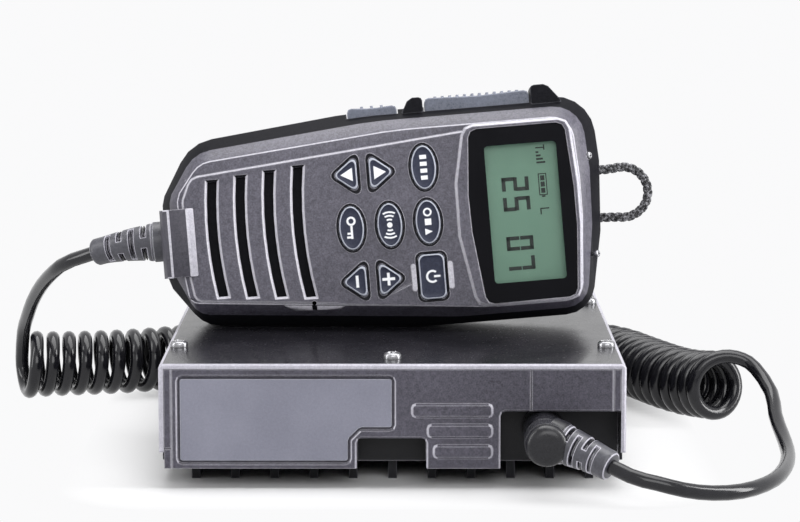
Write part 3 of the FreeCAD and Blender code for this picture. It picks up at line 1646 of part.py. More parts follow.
handset_makers = {
    "handset_front_shell": make_handset_front_shell,
    "handset_back_shell": make_handset_back_shell,
    "handset_screws": make_handset_screws,
    "handset_board_screws": make_handset_board_screws,
    "head_end_screws": make_head_end_screws,
    "display_window": make_display_window,
    "lcd_panel": make_lcd_panel,
    "lcd_holder": make_lcd_holder,
    "handset_board": make_handset_board,
    "keypad_mat": make_keypad_mat,
    "speaker_cloth": make_speaker_cloth,
    "speaker_driver": make_speaker_driver,
    "microphone_element": make_microphone_element,
    "ptt_button": make_ptt_button,
    "side_button": make_side_button,
    "switch_board": make_switch_board,
    "ptt_switch": make_ptt_switch,
    "side_switch": make_side_switch,
    "jack_cover": make_jack_cover,
    "earphone_jack": make_earphone_jack,
    "hanger_stud": make_hanger_stud,
    "hanging_loop": make_hanging_loop,
    "handset_cord_boot": make_handset_cord_boot,
}
for node, maker in handset_makers.items():
    write(node, placed(maker()))
for node in key_names():
    write(node, placed(make_key(node)))

curls = Coil()
write("cord_coil", make_cord_coil(curls))
write("cord_handset_lead",
      run_and_arc_tube(lead_points_from_handset(curls), cord_diameter, "handset lead"))
write("cord_plug_lead", run_and_arc_tube(lead_points_to_plug(curls), cord_diameter, "plug lead"))
write("plug_boot", make_plug_boot())
write("mic_plug", make_mic_plug())
print(len(pieces), "nodes", sum(len(shape.Solids) for shape in pieces.values()), "solids")
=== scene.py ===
import math

import bmesh
import bpy
from mathutils import Matrix, Vector


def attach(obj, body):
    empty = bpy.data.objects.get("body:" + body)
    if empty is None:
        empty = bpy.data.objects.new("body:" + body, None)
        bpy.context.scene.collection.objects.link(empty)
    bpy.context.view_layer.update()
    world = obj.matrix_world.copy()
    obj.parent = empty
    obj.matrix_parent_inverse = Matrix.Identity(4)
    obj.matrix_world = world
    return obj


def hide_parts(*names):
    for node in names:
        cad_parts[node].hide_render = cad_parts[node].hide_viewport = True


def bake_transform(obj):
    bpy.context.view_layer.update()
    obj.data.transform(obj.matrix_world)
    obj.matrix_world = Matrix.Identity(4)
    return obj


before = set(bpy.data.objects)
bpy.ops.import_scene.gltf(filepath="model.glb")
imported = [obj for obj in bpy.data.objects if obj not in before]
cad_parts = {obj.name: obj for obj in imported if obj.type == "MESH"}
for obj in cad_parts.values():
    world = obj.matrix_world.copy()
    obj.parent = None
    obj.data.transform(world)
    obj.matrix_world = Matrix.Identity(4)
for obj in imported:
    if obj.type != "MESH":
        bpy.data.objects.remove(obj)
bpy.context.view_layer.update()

mm = 0.001
scene = bpy.context.scene
scene.view_settings.view_transform = "Standard"

# camera, at the photograph's viewing angle

cameraValues = dict(
    place=(3.6065, -930.18, 189.59),    # mm
    downwards=8.0193,                   # degrees
    leftwards=0.0882,
    lens=130.865,
    sensor=36.0,
)

cameraData = bpy.data.cameras.new("photoCamera")
cameraData.lens = cameraValues["lens"]
cameraData.sensor_width = cameraValues["sensor"]
cameraData.clip_start = 0.01
camera = bpy.data.objects.new("photoCamera", cameraData)
camera.location = Vector(cameraValues["place"]) * mm
camera.rotation_euler = (math.radians(90 - cameraValues["downwards"]), 0,
                         math.radians(cameraValues["leftwards"]))
scene.collection.objects.link(camera)
scene.camera = camera
print("camera placed")


# small helpers

def addObject(name, mesh, body=None):
    piece = bpy.data.objects.new(name, mesh)
    scene.collection.objects.link(piece)
    if body:
        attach(piece, body)
    return piece


def meshFrom(bm, name, smooth=False):
    mesh = bpy.data.meshes.new(name)
    bm.to_mesh(mesh)
    bm.free()
    for face in mesh.polygons:
        face.use_smooth = smooth
    return mesh


handsetValues = dict(
    origin=(-1.05, -12.9, 71.91),       # mm, the middle key on the handset's face
    lean=8.0,                           # degrees back from upright
    rise=(6.0, 72.0),                   # its lower edge's rise, and over which length
)
# the handset's own directions: X to the head, Y to the push-to-talk bar, Z out of the face
handsetPlace = (Matrix.Translation(Vector(handsetValues["origin"]) * mm)
                @ Matrix.Rotation(math.radians(90 - handsetValues["lean"]), 4, "X")
                @ Matrix.Rotation(math.atan2(*handsetValues["rise"]), 4, "Z"))


def toPlace(bm, body):
    # from millimetres to metres; what isn't the unit's is drawn in the handset's directions
    if body == "unit":
        bmesh.ops.scale(bm, vec=(mm, mm, mm), verts=bm.verts)
    else:
        bmesh.ops.transform(bm, matrix=handsetPlace @ Matrix.Scale(mm, 4), verts=bm.verts)


def outlineFace(bm, corners, z):
    # a flat face through corners (x, y, radius) with rounded corners
    verts = [bm.verts.new((x, y, z)) for x, y, radius in corners]
    bm.faces.new(verts)
    reaches = []
    for i, vert in enumerate(verts):
        ahead = verts[(i + 1) % len(verts)].co - vert.co
        behind = verts[i - 1].co - vert.co
        reaches.append(corners[i][2] / math.tan(ahead.angle(behind) / 2))
    for vert, reach in zip(verts, reaches):
        if reach > 0:
            bmesh.ops.bevel(bm, geom=[vert], offset=reach, offset_type="OFFSET", segments=6,
                            profile=0.5, affect="VERTICES", material=-1)
    bm.faces.ensure_lookup_table()
    return bm.faces[-1]


def ovalFace(bm, x, y, halfX, halfY, z, segments=40):
    made = bmesh.ops.create_circle(bm, cap_ends=True, segments=segments, radius=1.0,
                                   matrix=Matrix.Translation((x, y, z))
                                   @ Matrix.Diagonal((halfX, halfY, 1.0, 1.0)))
    return made["verts"][0].link_faces[0]


def raiseFaces(bm, faces, keepBase=False):
    made = bmesh.ops.extrude_face_region(bm, geom=faces)["geom"]
    if not keepBase:
        left = [face for face in faces if face.is_valid]
        bmesh.ops.delete(bm, geom=left, context="FACES_ONLY")
    return ([part for part in made if isinstance(part, bmesh.types.BMFace)],
            [part for part in made if isinstance(part, bmesh.types.BMVert)])


def stack(bm, face, centre, size, levels, keepBase=True):
    # raises a face level by level; a level has its height, its growth and its material slot
    space = Matrix.Translation((-centre[0], -centre[1], 0.0))
    was = 0.0
    for height, growth, slot in levels:
        faces, verts = raiseFaces(bm, [face], keepBase)
        face, keepBase = faces[0], False
        bmesh.ops.scale(bm, vec=((size[0] + growth) / (size[0] + was),
                                 (size[1] + growth) / (size[1] + was), 1.0),
                        space=space, verts=verts)
        bmesh.ops.translate(bm, vec=(0.0, 0.0, height - verts[0].co.z), verts=verts)
        for edge in face.edges:
            for side in edge.link_faces:
                if side is not face:
                    side.material_index = slot
        was = growth
    return face


def standing(place, direction, turn=0.0):
    # stands a piece that is drawn along Z at a place, looking in a direction
    look = Vector(direction).to_track_quat("Z", "Y").to_matrix().to_4x4()
    return Matrix.Translation(Vector(place)) @ look @ Matrix.Rotation(math.radians(turn), 4, "Z")


def finishPiece(name, bm, body, materials, replaced=(), smooth=True, sharp=40.0):
    # puts a piece at its place, with smooth shading except over sharper edges than the angle
    toPlace(bm, body)
    bmesh.ops.recalc_face_normals(bm, faces=bm.faces)
    for edge in bm.edges:
        edge.smooth = not (len(edge.link_faces) == 2
                           and edge.calc_face_angle(0.0) > math.radians(sharp))
    piece = addObject(name, meshFrom(bm, name, smooth), body)
    for material in materials:
        piece.data.materials.append(finishes[material])
    if replaced:
        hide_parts(*replaced)
    return piece


# shader groups

def newGroup(name, inputs, outputs):
    tree = bpy.data.node_groups.new(name, "ShaderNodeTree")
    for label, kind, start in inputs:
        socket = tree.interface.new_socket(label, in_out="INPUT", socket_type=kind)
        if start is not None:
            socket.default_value = start
    for label, kind in outputs:
        tree.interface.new_socket(label, in_out="OUTPUT", socket_type=kind)
    return tree, tree.nodes.new("NodeGroupInput"), tree.nodes.new("NodeGroupOutput")


def plugIn(tree, socket, value):
    # a number is set on the socket, and another node's output is linked to it
    if isinstance(value, (int, float)):
        socket.default_value = value
    else:
        tree.links.new(value, socket)


def mathNode(tree, operation, first, second=None, clamp=False):
    node = tree.nodes.new("ShaderNodeMath")
    node.operation = operation
    node.use_clamp = clamp
    plugIn(tree, node.inputs[0], first)
    if second is not None:
        plugIn(tree, node.inputs[1], second)
    return node.outputs[0]


def noiseNode(tree, vector, scale, detail=3.0, roughness=0.55):
    node = tree.nodes.new("ShaderNodeTexNoise")
    node.inputs["Detail"].default_value = detail
    node.inputs["Roughness"].default_value = roughness
    tree.links.new(vector, node.inputs["Vector"])
    plugIn(tree, node.inputs["Scale"], scale)
    return node.outputs["Fac"]


def boxDistance(tree, offsets, halves):
    # how far a place is outside a box, from its offsets on two axes
    squares = []
    for offset, half in zip(offsets, halves):
        away = mathNode(tree, "ABSOLUTE", offset)
        away = mathNode(tree, "MAXIMUM", mathNode(tree, "SUBTRACT", away, half), 0.0)
        squares.append(mathNode(tree, "MULTIPLY", away, away))
    return mathNode(tree, "SQRT", mathNode(tree, "ADD", *squares))


def rangeNode(tree, value, low, high, toLow=0.0, toHigh=1.0):
    node = tree.nodes.new("ShaderNodeMapRange")
    for i, given in enumerate((value, low, high, toLow, toHigh)):
        plugIn(tree, node.inputs[i], given)
    return node.outputs[0]


grainValues = dict(
    scale=2600.0,
    patches=0.25,           # share of the slow patches in the tone
    fine=(2.0, 0.65),       # detail and roughness of the noise
    coarse=(1.0, 0.5),
    coarser=0.36,           # scale of the coarse noise against the fine one's
    shares=(0.65, 0.35),    # of the fine and the coarse noise
    slow=(42.0, 3.0, 0.6),  # scale, detail and roughness
    toneRange=(0.36, 0.66),
    patchRange=(0.35, 0.68),
)


def makeMouldGrain(values):
    # fine spark texture with slow patches in it
    tree, inside, outside = newGroup("mouldGrain", [
        ("Vector", "NodeSocketVector", None),
        ("Scale", "NodeSocketFloat", values["scale"]),
        ("Patches", "NodeSocketFloat", values["patches"]),
    ], [("Tone", "NodeSocketFloat"), ("Height", "NodeSocketFloat")])
    vector, scale = inside.outputs["Vector"], inside.outputs["Scale"]
    share = inside.outputs["Patches"]
    fine = noiseNode(tree, vector, scale, *values["fine"])
    coarse = noiseNode(tree, vector, mathNode(tree, "MULTIPLY", scale, values["coarser"]),
                       *values["coarse"])
    tone = mathNode(tree, "ADD", mathNode(tree, "MULTIPLY", fine, values["shares"][0]),
                    mathNode(tree, "MULTIPLY", coarse, values["shares"][1]))
    tone = rangeNode(tree, tone, *values["toneRange"])
    patch = rangeNode(tree, noiseNode(tree, vector, *values["slow"]), *values["patchRange"])
    rest = mathNode(tree, "MULTIPLY", tone, mathNode(tree, "SUBTRACT", 1.0, share))
    mixed = mathNode(tree, "ADD", rest, mathNode(tree, "MULTIPLY", patch, share))
    tree.links.new(mixed, outside.inputs["Tone"])
    tree.links.new(tone, outside.inputs["Height"])
    return tree


edgeWearAndHighlightValues = dict(
    radius=0.0006,          # metres
    breaks=0.5,
    samples=6,
    turned=(0.995, 0.90),   # how far the soft normal leans at an edge
    noise=(420.0, 4.0, 0.7),
    broken=(0.30, 0.62),
)


def makeEdgeWearAndHighlight(values):
    # rounds sharp edges in the shading, and marks the edges that take the lighter colour: real
    # rubbing, and painted highlight along the edges
    tree, inside, outside = newGroup("edgeWearAndHighlight", [
        ("Vector", "NodeSocketVector", None),
        ("Radius", "NodeSocketFloat", values["radius"]),
        ("Breaks", "NodeSocketFloat", values["breaks"]),
    ], [("Mask", "NodeSocketFloat"), ("Normal", "NodeSocketVector")])
    bevel = tree.nodes.new("ShaderNodeBevel")
    bevel.samples = values["samples"]
    tree.links.new(inside.outputs["Radius"], bevel.inputs["Radius"])
    geometry = tree.nodes.new("ShaderNodeNewGeometry")
    dot = tree.nodes.new("ShaderNodeVectorMath")
    dot.operation = "DOT_PRODUCT"
    tree.links.new(bevel.outputs["Normal"], dot.inputs[0])
    tree.links.new(geometry.outputs["Normal"], dot.inputs[1])
    turned = rangeNode(tree, dot.outputs["Value"], *values["turned"])
    broken = rangeNode(tree, noiseNode(tree, inside.outputs["Vector"], *values["noise"]),
                       *values["broken"])
    lost = mathNode(tree, "MULTIPLY", inside.outputs["Breaks"],
                    mathNode(tree, "SUBTRACT", 1.0, broken))
    kept = mathNode(tree, "SUBTRACT", 1.0, lost)
    tree.links.new(mathNode(tree, "MULTIPLY", turned, kept), outside.inputs["Mask"])
    tree.links.new(bevel.outputs["Normal"], outside.inputs["Normal"])
    return tree


rubValues = dict(
    scale=60.0,
    turn=(0.0, 0.0, 0.5),   # the scratches' direction, in radians
    stretch=(1.0, 24.0, 6.0),
    lines=(5.0, 0.7),
    lineRange=(0.60, 0.74),
    specks=(900.0, 2.0, 0.5),
    speckRange=(0.66, 0.74),
)


def makeRubMarks(values):
    # faint scratches and dust that lie on broad smooth faces
    tree, inside, outside = newGroup("rubMarks", [
        ("Vector", "NodeSocketVector", None),
        ("Scale", "NodeSocketFloat", values["scale"]),
    ], [("Marks", "NodeSocketFloat"), ("Dust", "NodeSocketFloat")])
    stretch = tree.nodes.new("ShaderNodeMapping")
    stretch.inputs["Rotation"].default_value = values["turn"]
    stretch.inputs["Scale"].default_value = values["stretch"]
    tree.links.new(inside.outputs["Vector"], stretch.inputs["Vector"])
    lines = noiseNode(tree, stretch.outputs["Vector"], inside.outputs["Scale"],
                      *values["lines"])
    specks = noiseNode(tree, inside.outputs["Vector"], *values["specks"])
    tree.links.new(rangeNode(tree, lines, *values["lineRange"]), outside.inputs["Marks"])
    tree.links.new(rangeNode(tree, specks, *values["speckRange"]), outside.inputs["Dust"])
    return tree


groups = dict(grain=makeMouldGrain(grainValues), wearAndHighlight=makeEdgeWearAndHighlight(edgeWearAndHighlightValues),
              rub=makeRubMarks(rubValues))
print("shader groups built")


# finishes

def mixColour(tree, share, first, second):
    node = tree.nodes.new("ShaderNodeMix")
    node.data_type = "RGBA"
    plugIn(tree, node.inputs[0], share)
    for socket, colour in ((node.inputs[6], first), (node.inputs[7], second)):
        if isinstance(colour, bpy.types.NodeSocket):
            tree.links.new(colour, socket)
        else:
            socket.default_value = (*colour, 1.0)
    return node.outputs[2]


def useGroup(tree, name, vector, **values):
    node = tree.nodes.new("ShaderNodeGroup")
    node.node_tree = groups[name]
    tree.links.new(vector, node.inputs["Vector"])
    for label, value in values.items():
        node.inputs[label].default_value = value
    return node


# what a finish has unless its own look says otherwise; edge and depth are in millimetres
commonLook = dict(grainScale=2600.0, patches=0.25, edge=0.5, wearAndHighlight=0.5, bump=0.3, depth=0.03,
                  metallic=0.0, coat=0.0, coatRoughness=0.1, specular=0.5)


def makeFinish(name, ownLook):
    # one moulded, painted or plated finish: grain in tone and height, edges lightened by rubbing
    # and by painted highlight, soft edges
    look = {**commonLook, **ownLook}
    material = bpy.data.materials.new(name)
    material.use_nodes = True
    tree = material.node_tree
    shader = tree.nodes["Principled BSDF"]
    place = tree.nodes.new("ShaderNodeTexCoord").outputs["Object"]
    grain = useGroup(tree, "grain", place, Scale=look["grainScale"], Patches=look["patches"])
    wearAndHighlight = useGroup(tree, "wearAndHighlight", place, Radius=look["edge"] * mm)
    colour = mixColour(tree, grain.outputs["Tone"], look["dark"], look["light"])
    roughness = rangeNode(tree, grain.outputs["Tone"], 0.0, 1.0, look["smooth"], look["rough"])
    # painted shade: behind a given Y the colour goes over to near-black, darkening the recesses
    if "paintedShadeDepth" in look:
        split = tree.nodes.new("ShaderNodeSeparateXYZ")
        tree.links.new(place, split.inputs[0])
        inwards = rangeNode(tree, split.outputs["Y"], *(y * mm for y in look["paintedShadeDepth"]))
        colour = mixColour(tree, inwards, colour, look["paintedShadeColour"])
    # the marked edges turn to the lighter colour, partly real wear and partly painted highlight
    if "wearAndHighlightColour" in look:
        share = mathNode(tree, "MULTIPLY", wearAndHighlight.outputs["Mask"], look["wearAndHighlight"])
        colour = mixColour(tree, share, colour, look["wearAndHighlightColour"])
    if "marks" in look:
        rub = useGroup(tree, "rub", place)
        marks = mathNode(tree, "MULTIPLY", rub.outputs["Marks"], look["marks"])
        colour = mixColour(tree, marks, colour, look["wearAndHighlightColour"])
        dust = mathNode(tree, "MULTIPLY", rub.outputs["Dust"], look["marks"])
        roughness = mathNode(tree, "ADD", roughness, dust, clamp=True)
    tree.links.new(colour, shader.inputs["Base Color"])
    tree.links.new(roughness, shader.inputs["Roughness"])
    bump = tree.nodes.new("ShaderNodeBump")
    bump.inputs["Strength"].default_value = look["bump"]
    bump.inputs["Distance"].default_value = look["depth"] * mm
    tree.links.new(grain.outputs["Height"], bump.inputs["Height"])
    tree.links.new(wearAndHighlight.outputs["Normal"], bump.inputs["Normal"])
    tree.links.new(bump.outputs["Normal"], shader.inputs["Normal"])
    shader.inputs["Metallic"].default_value = look["metallic"]
    shader.inputs["Coat Weight"].default_value = look["coat"]
    shader.inputs["Coat Roughness"].default_value = look["coatRoughness"]
    shader.inputs["Specular IOR Level"].default_value = look["specular"]
    return material


looks = dict(
    handsetPlastic=dict(dark=(0.032, 0.030, 0.044), light=(0.122, 0.116, 0.149), smooth=0.28,
                        rough=0.46, grainScale=2000.0, patches=0.25, edge=0.6,
                        wearAndHighlightColour=(0.60, 0.59, 0.65), wearAndHighlight=0.9, bump=0.45, depth=0.05,
                        specular=0.4),
    # painted highlight: a pale colour on slopes, bevels and raised bars that catch the light
    paintedShellHighlight=dict(dark=(0.36, 0.35, 0.40), light=(0.62, 0.61, 0.67), smooth=0.26, rough=0.38,
                   grainScale=2400.0, edge=0.2, bump=0.1, depth=0.02),
    # the back shell's own black; on the front shell also painted shade at the slots' upper ends
    shellBlackAndPaintedShade=dict(dark=(0.006, 0.006, 0.008), light=(0.014, 0.014, 0.017), smooth=0.34,
                    rough=0.50, grainScale=2000.0, edge=0.5, wearAndHighlightColour=(0.22, 0.22, 0.25),
                    wearAndHighlight=0.5, bump=0.2, depth=0.03, specular=0.03),
    # painted highlight: a pale colour on edges that catch light from the sides, a little darker
    # than the shell's
    paintedEdgeHighlight=dict(dark=(0.30, 0.29, 0.34), light=(0.52, 0.51, 0.57), smooth=0.30, rough=0.42,
                   grainScale=2400.0, edge=0.2, bump=0.1, depth=0.02),
    unitPlastic=dict(dark=(0.036, 0.034, 0.045), light=(0.106, 0.101, 0.130), smooth=0.34,
                     rough=0.5, grainScale=2000.0, patches=0.25, edge=0.5,
                     wearAndHighlightColour=(0.55, 0.54, 0.59), wearAndHighlight=0.7, bump=0.4, depth=0.05,
                     specular=0.25,
                     # from the first to the second Y it goes over to painted shade, which darkens
                     # the recesses
                     paintedShadeDepth=(-74.0, -73.0), paintedShadeColour=(0.006, 0.006, 0.008)),
    coverPaint=dict(dark=(0.008, 0.008, 0.010), light=(0.015, 0.014, 0.018), smooth=0.18,
                    rough=0.28, grainScale=900.0, patches=0.6, edge=0.6, marks=0.08,
                    wearAndHighlightColour=(0.50, 0.49, 0.54), wearAndHighlight=0.8, bump=0.08, depth=0.02,
                    specular=0.28),
    castPaint=dict(dark=(0.008, 0.008, 0.010), light=(0.018, 0.018, 0.022), smooth=0.42,
                   rough=0.6, grainScale=1400.0, patches=0.3, edge=0.5,
                   wearAndHighlightColour=(0.25, 0.25, 0.28), wearAndHighlight=0.5, bump=0.4, depth=0.06, specular=0.2),
    plateFinish=dict(dark=(0.160, 0.162, 0.208), light=(0.226, 0.229, 0.286), smooth=0.34,
                     rough=0.44, grainScale=3200.0, patches=0.5, edge=0.4,
                     wearAndHighlightColour=(0.50, 0.51, 0.56), wearAndHighlight=0.9, bump=0.12, depth=0.02),
    buttonPlastic=dict(dark=(0.056, 0.064, 0.092), light=(0.130, 0.146, 0.200), smooth=0.26,
                       rough=0.40, grainScale=2600.0, patches=0.3, edge=0.8,
                       wearAndHighlightColour=(0.42, 0.45, 0.55), wearAndHighlight=0.9, bump=0.2, depth=0.03),
    keyPlastic=dict(dark=(0.013, 0.016, 0.034), light=(0.036, 0.041, 0.070), smooth=0.30,
                    rough=0.42, grainScale=2600.0, patches=0.35, edge=0.35,
                    wearAndHighlightColour=(0.40, 0.43, 0.52), wearAndHighlight=0.6, bump=0.15, depth=0.02,
                    specular=0.2),
    softRubber=dict(dark=(0.032, 0.031, 0.040), light=(0.076, 0.072, 0.092), smooth=0.40,
                    rough=0.55, grainScale=2200.0, edge=0.5, wearAndHighlightColour=(0.55, 0.54, 0.60),
                    wearAndHighlight=0.8, bump=0.2, depth=0.03, specular=0.3),
    bootRubber=dict(dark=(0.030, 0.030, 0.038), light=(0.078, 0.078, 0.094), smooth=0.30,
                    rough=0.46, grainScale=1800.0, patches=0.4, edge=0.6,
                    wearAndHighlightColour=(0.62, 0.62, 0.68), wearAndHighlight=0.95, bump=0.15, depth=0.03),
    cordJacket=dict(dark=(0.005, 0.005, 0.007), light=(0.012, 0.012, 0.015), smooth=0.14,
                    rough=0.24, grainScale=700.0, patches=0.6, edge=0.1, bump=0.05,
                    depth=0.02, coat=0.2, coatRoughness=0.12, specular=0.3),
    plugFinish=dict(dark=(0.004, 0.004, 0.006), light=(0.012, 0.012, 0.015), smooth=0.24,
                    rough=0.36, grainScale=1500.0, edge=0.4, wearAndHighlightColour=(0.14, 0.14, 0.16),
                    wearAndHighlight=0.4, bump=0.1, depth=0.02, specular=0.4),
    # painted highlight along the top of each key's rim
    paintedKeyRimHighlight=dict(dark=(0.30, 0.32, 0.38), light=(0.46, 0.48, 0.55), smooth=0.30, rough=0.42,
                grainScale=2600.0, edge=0.1, bump=0.1, depth=0.02),
    # painted shade: near-black on the walls and floors of grooves, slots and recesses, where
    # shade falls
    paintedRecessShade=dict(dark=(0.003, 0.003, 0.005), light=(0.009, 0.009, 0.013), smooth=0.5,
                     rough=0.7, grainScale=2000.0, edge=0.1, bump=0.1, depth=0.02,
                     specular=0.15),
    darkMoulding=dict(dark=(0.012, 0.012, 0.014), light=(0.030, 0.030, 0.034), smooth=0.4,
                      rough=0.6, grainScale=1500.0, edge=0.3, bump=0.2, depth=0.03),
    connectorNylon=dict(dark=(0.56, 0.53, 0.46), light=(0.66, 0.63, 0.56), smooth=0.35,
                        rough=0.5, grainScale=900.0, edge=0.3, bump=0.1, depth=0.02),
    boardLaminate=dict(dark=(0.018, 0.085, 0.036), light=(0.030, 0.130, 0.056), smooth=0.25,
                       rough=0.35, grainScale=600.0, edge=0.1, bump=0.1, depth=0.02),
    screwSteel=dict(dark=(0.20, 0.20, 0.21), light=(0.42, 0.42, 0.44), smooth=0.20,
                    rough=0.34, grainScale=2400.0, metallic=0.9, edge=0.2,
                    wearAndHighlightColour=(0.85, 0.85, 0.87), wearAndHighlight=0.8, bump=0.1, depth=0.01),
    nickelPlate=dict(dark=(0.60, 0.58, 0.53), light=(0.74, 0.72, 0.66), smooth=0.15,
                     rough=0.26, grainScale=800.0, metallic=1.0, edge=0.2, bump=0.05,
                     depth=0.01),
    tinPlate=dict(dark=(0.50, 0.51, 0.52), light=(0.66, 0.67, 0.68), smooth=0.25, rough=0.4,
                  grainScale=500.0, metallic=1.0, edge=0.2, bump=0.05, depth=0.01),
    dustCloth=dict(dark=(0.003, 0.003, 0.004), light=(0.012, 0.012, 0.015), smooth=0.8,
                   rough=0.95, grainScale=3500.0, edge=0.1, bump=0.5, depth=0.05,
                   specular=0.1),
    displayGreen=dict(dark=(0.165, 0.320, 0.232), light=(0.205, 0.372, 0.272), smooth=0.35,
                      rough=0.45, grainScale=160.0, patches=0.9, edge=0.1, bump=0.02,
                      depth=0.01),
    paleInk=dict(dark=(0.84, 0.85, 0.88), light=(0.94, 0.95, 0.97), smooth=0.4, rough=0.5,
                 grainScale=3000.0, edge=0.05, bump=0.05, depth=0.01),
    darkSegment=dict(dark=(0.003, 0.010, 0.007), light=(0.008, 0.020, 0.015), smooth=0.4,
                     rough=0.5, grainScale=2000.0, edge=0.05, bump=0.02, depth=0.01),
)
finishes = {name: makeFinish(name, look) for name, look in looks.items()}


glassValues = dict(
    clear=(31.8, 54.8, -21.4, 22.4),    # mm on the handset: X from and to, Y from and to
    corner=1.2,
    blur=0.03,
    clearAlpha=0.10,
    smudges=(70.0, 4.0, 0.6),
    smudgeRange=(0.3, 0.7),
    roughness=(0.05, 0.12),
    dark=(0.002, 0.002, 0.003),
    light=(0.005, 0.005, 0.007),
    specular=0.08,
)


def makeDisplayGlass(values):
    # black mask with a clear opening in it, both behind one glossy surface
    material = bpy.data.materials.new("displayGlass")
    material.use_nodes = True
    tree = material.node_tree
    shader = tree.nodes["Principled BSDF"]
    place = tree.nodes.new("ShaderNodeTexCoord").outputs["Object"]
    turn = tree.nodes.new("ShaderNodeMapping")
    back = handsetPlace.inverted()
    turn.inputs["Rotation"].default_value = back.to_euler()
    turn.inputs["Location"].default_value = back.to_translation()
    tree.links.new(place, turn.inputs["Vector"])
    split = tree.nodes.new("ShaderNodeSeparateXYZ")
    tree.links.new(turn.outputs["Vector"], split.inputs[0])
    left, right, low, high = (v * mm for v in values["clear"])
    corner, blur = values["corner"] * mm, values["blur"] * mm
    offsets = []
    for axis, start, end in ((0, left, right), (1, low, high)):
        offsets.append(mathNode(tree, "SUBTRACT", split.outputs[axis], (start + end) / 2))
    halves = ((right - left) / 2 - corner, (high - low) / 2 - corner)
    distance = boxDistance(tree, offsets, halves)
    alpha = rangeNode(tree, distance, corner - blur, corner + blur, values["clearAlpha"], 1.0)
    tree.links.new(alpha, shader.inputs["Alpha"])
    smudge = noiseNode(tree, place, *values["smudges"])
    tree.links.new(rangeNode(tree, smudge, *values["smudgeRange"], *values["roughness"]),
                   shader.inputs["Roughness"])
    tree.links.new(mixColour(tree, smudge, values["dark"], values["light"]),
                   shader.inputs["Base Color"])
    shader.inputs["Specular IOR Level"].default_value = values["specular"]
    return material


finishes["displayGlass"] = makeDisplayGlass(glassValues)

braidValues = dict(
    dark=(0.010, 0.010, 0.012),
    light=(0.26, 0.26, 0.28),
    yarns=1100.0,
    yarnNoise=(1.0, 0.5),
    yarnRange=(0.46, 0.60),
    fibreNoise=(3.0, 0.7),
    fibreRange=(0.3, 0.6),
    finer=4,                # fibres to a yarn
    roughRange=(0.2, 0.8),
    roughness=(0.6, 0.9),
    sheen=(0.3, 0.4),       # weight and roughness
    depth=0.12,             # mm
    bump=0.8,
)


def makeBraidFinish(values):
    # single yarns, some pale and some dark, with short fibres
    material = bpy.data.materials.new("braidYarn")
    material.use_nodes = True
    tree = material.node_tree
    shader = tree.nodes["Principled BSDF"]
    place = tree.nodes.new("ShaderNodeTexCoord").outputs["Object"]
    yarns = noiseNode(tree, place, values["yarns"], *values["yarnNoise"])
    patches = rangeNode(tree, yarns, *values["yarnRange"])
    fibres = noiseNode(tree, place, values["yarns"] * values["finer"], *values["fibreNoise"])
    share = mathNode(tree, "MULTIPLY", patches, rangeNode(tree, fibres, *values["fibreRange"]))
    tree.links.new(mixColour(tree, share, values["dark"], values["light"]),
                   shader.inputs["Base Color"])
    tree.links.new(rangeNode(tree, fibres, *values["roughRange"], *values["roughness"]),
                   shader.inputs["Roughness"])
    bump = tree.nodes.new("ShaderNodeBump")
    bump.inputs["Distance"].default_value = values["depth"] * mm
    bump.inputs["Strength"].default_value = values["bump"]
    tree.links.new(fibres, bump.inputs["Height"])
    tree.links.new(bump.outputs["Normal"], shader.inputs["Normal"])
    weight, roughness = values["sheen"]
    shader.inputs["Sheen Weight"].default_value = weight
    shader.inputs["Sheen Roughness"].default_value = roughness
    return material


finishes["braidYarn"] = makeBraidFinish(braidValues)

nodeFinishes = dict(
    handsetPlastic=["handset_front_shell"],
    shellBlackAndPaintedShade=["handset_back_shell"],
    unitPlastic=["front_panel"],
    coverPaint=["top_cover"],
    castPaint=["chassis"],
    plateFinish=["name_plate"],
    buttonPlastic=["ptt_button", "side_button"],
    softRubber=["jack_cover", "keypad_mat"],
    plugFinish=["mic_jack"],
    darkMoulding=["lcd_holder", "ptt_switch", "side_switch", "power_amplifier",
                  "board_components", "speaker_jack", "speaker_driver"],
    connectorNylon=["dc_power_inlet"],
    boardLaminate=["main_board", "front_board", "handset_board", "switch_board"],
    screwSteel=["board_screws", "antenna_socket_screws", "handset_board_screws"],
    nickelPlate=["antenna_socket", "hanger_stud", "earphone_jack", "microphone_element"],
    tinPlate=["shield_cans"],
    dustCloth=["speaker_cloth"],
    displayGreen=["lcd_panel"],
    displayGlass=["display_window"],
)
softValues = dict(merge=0.000005, angle=50.0)      # metres, degrees


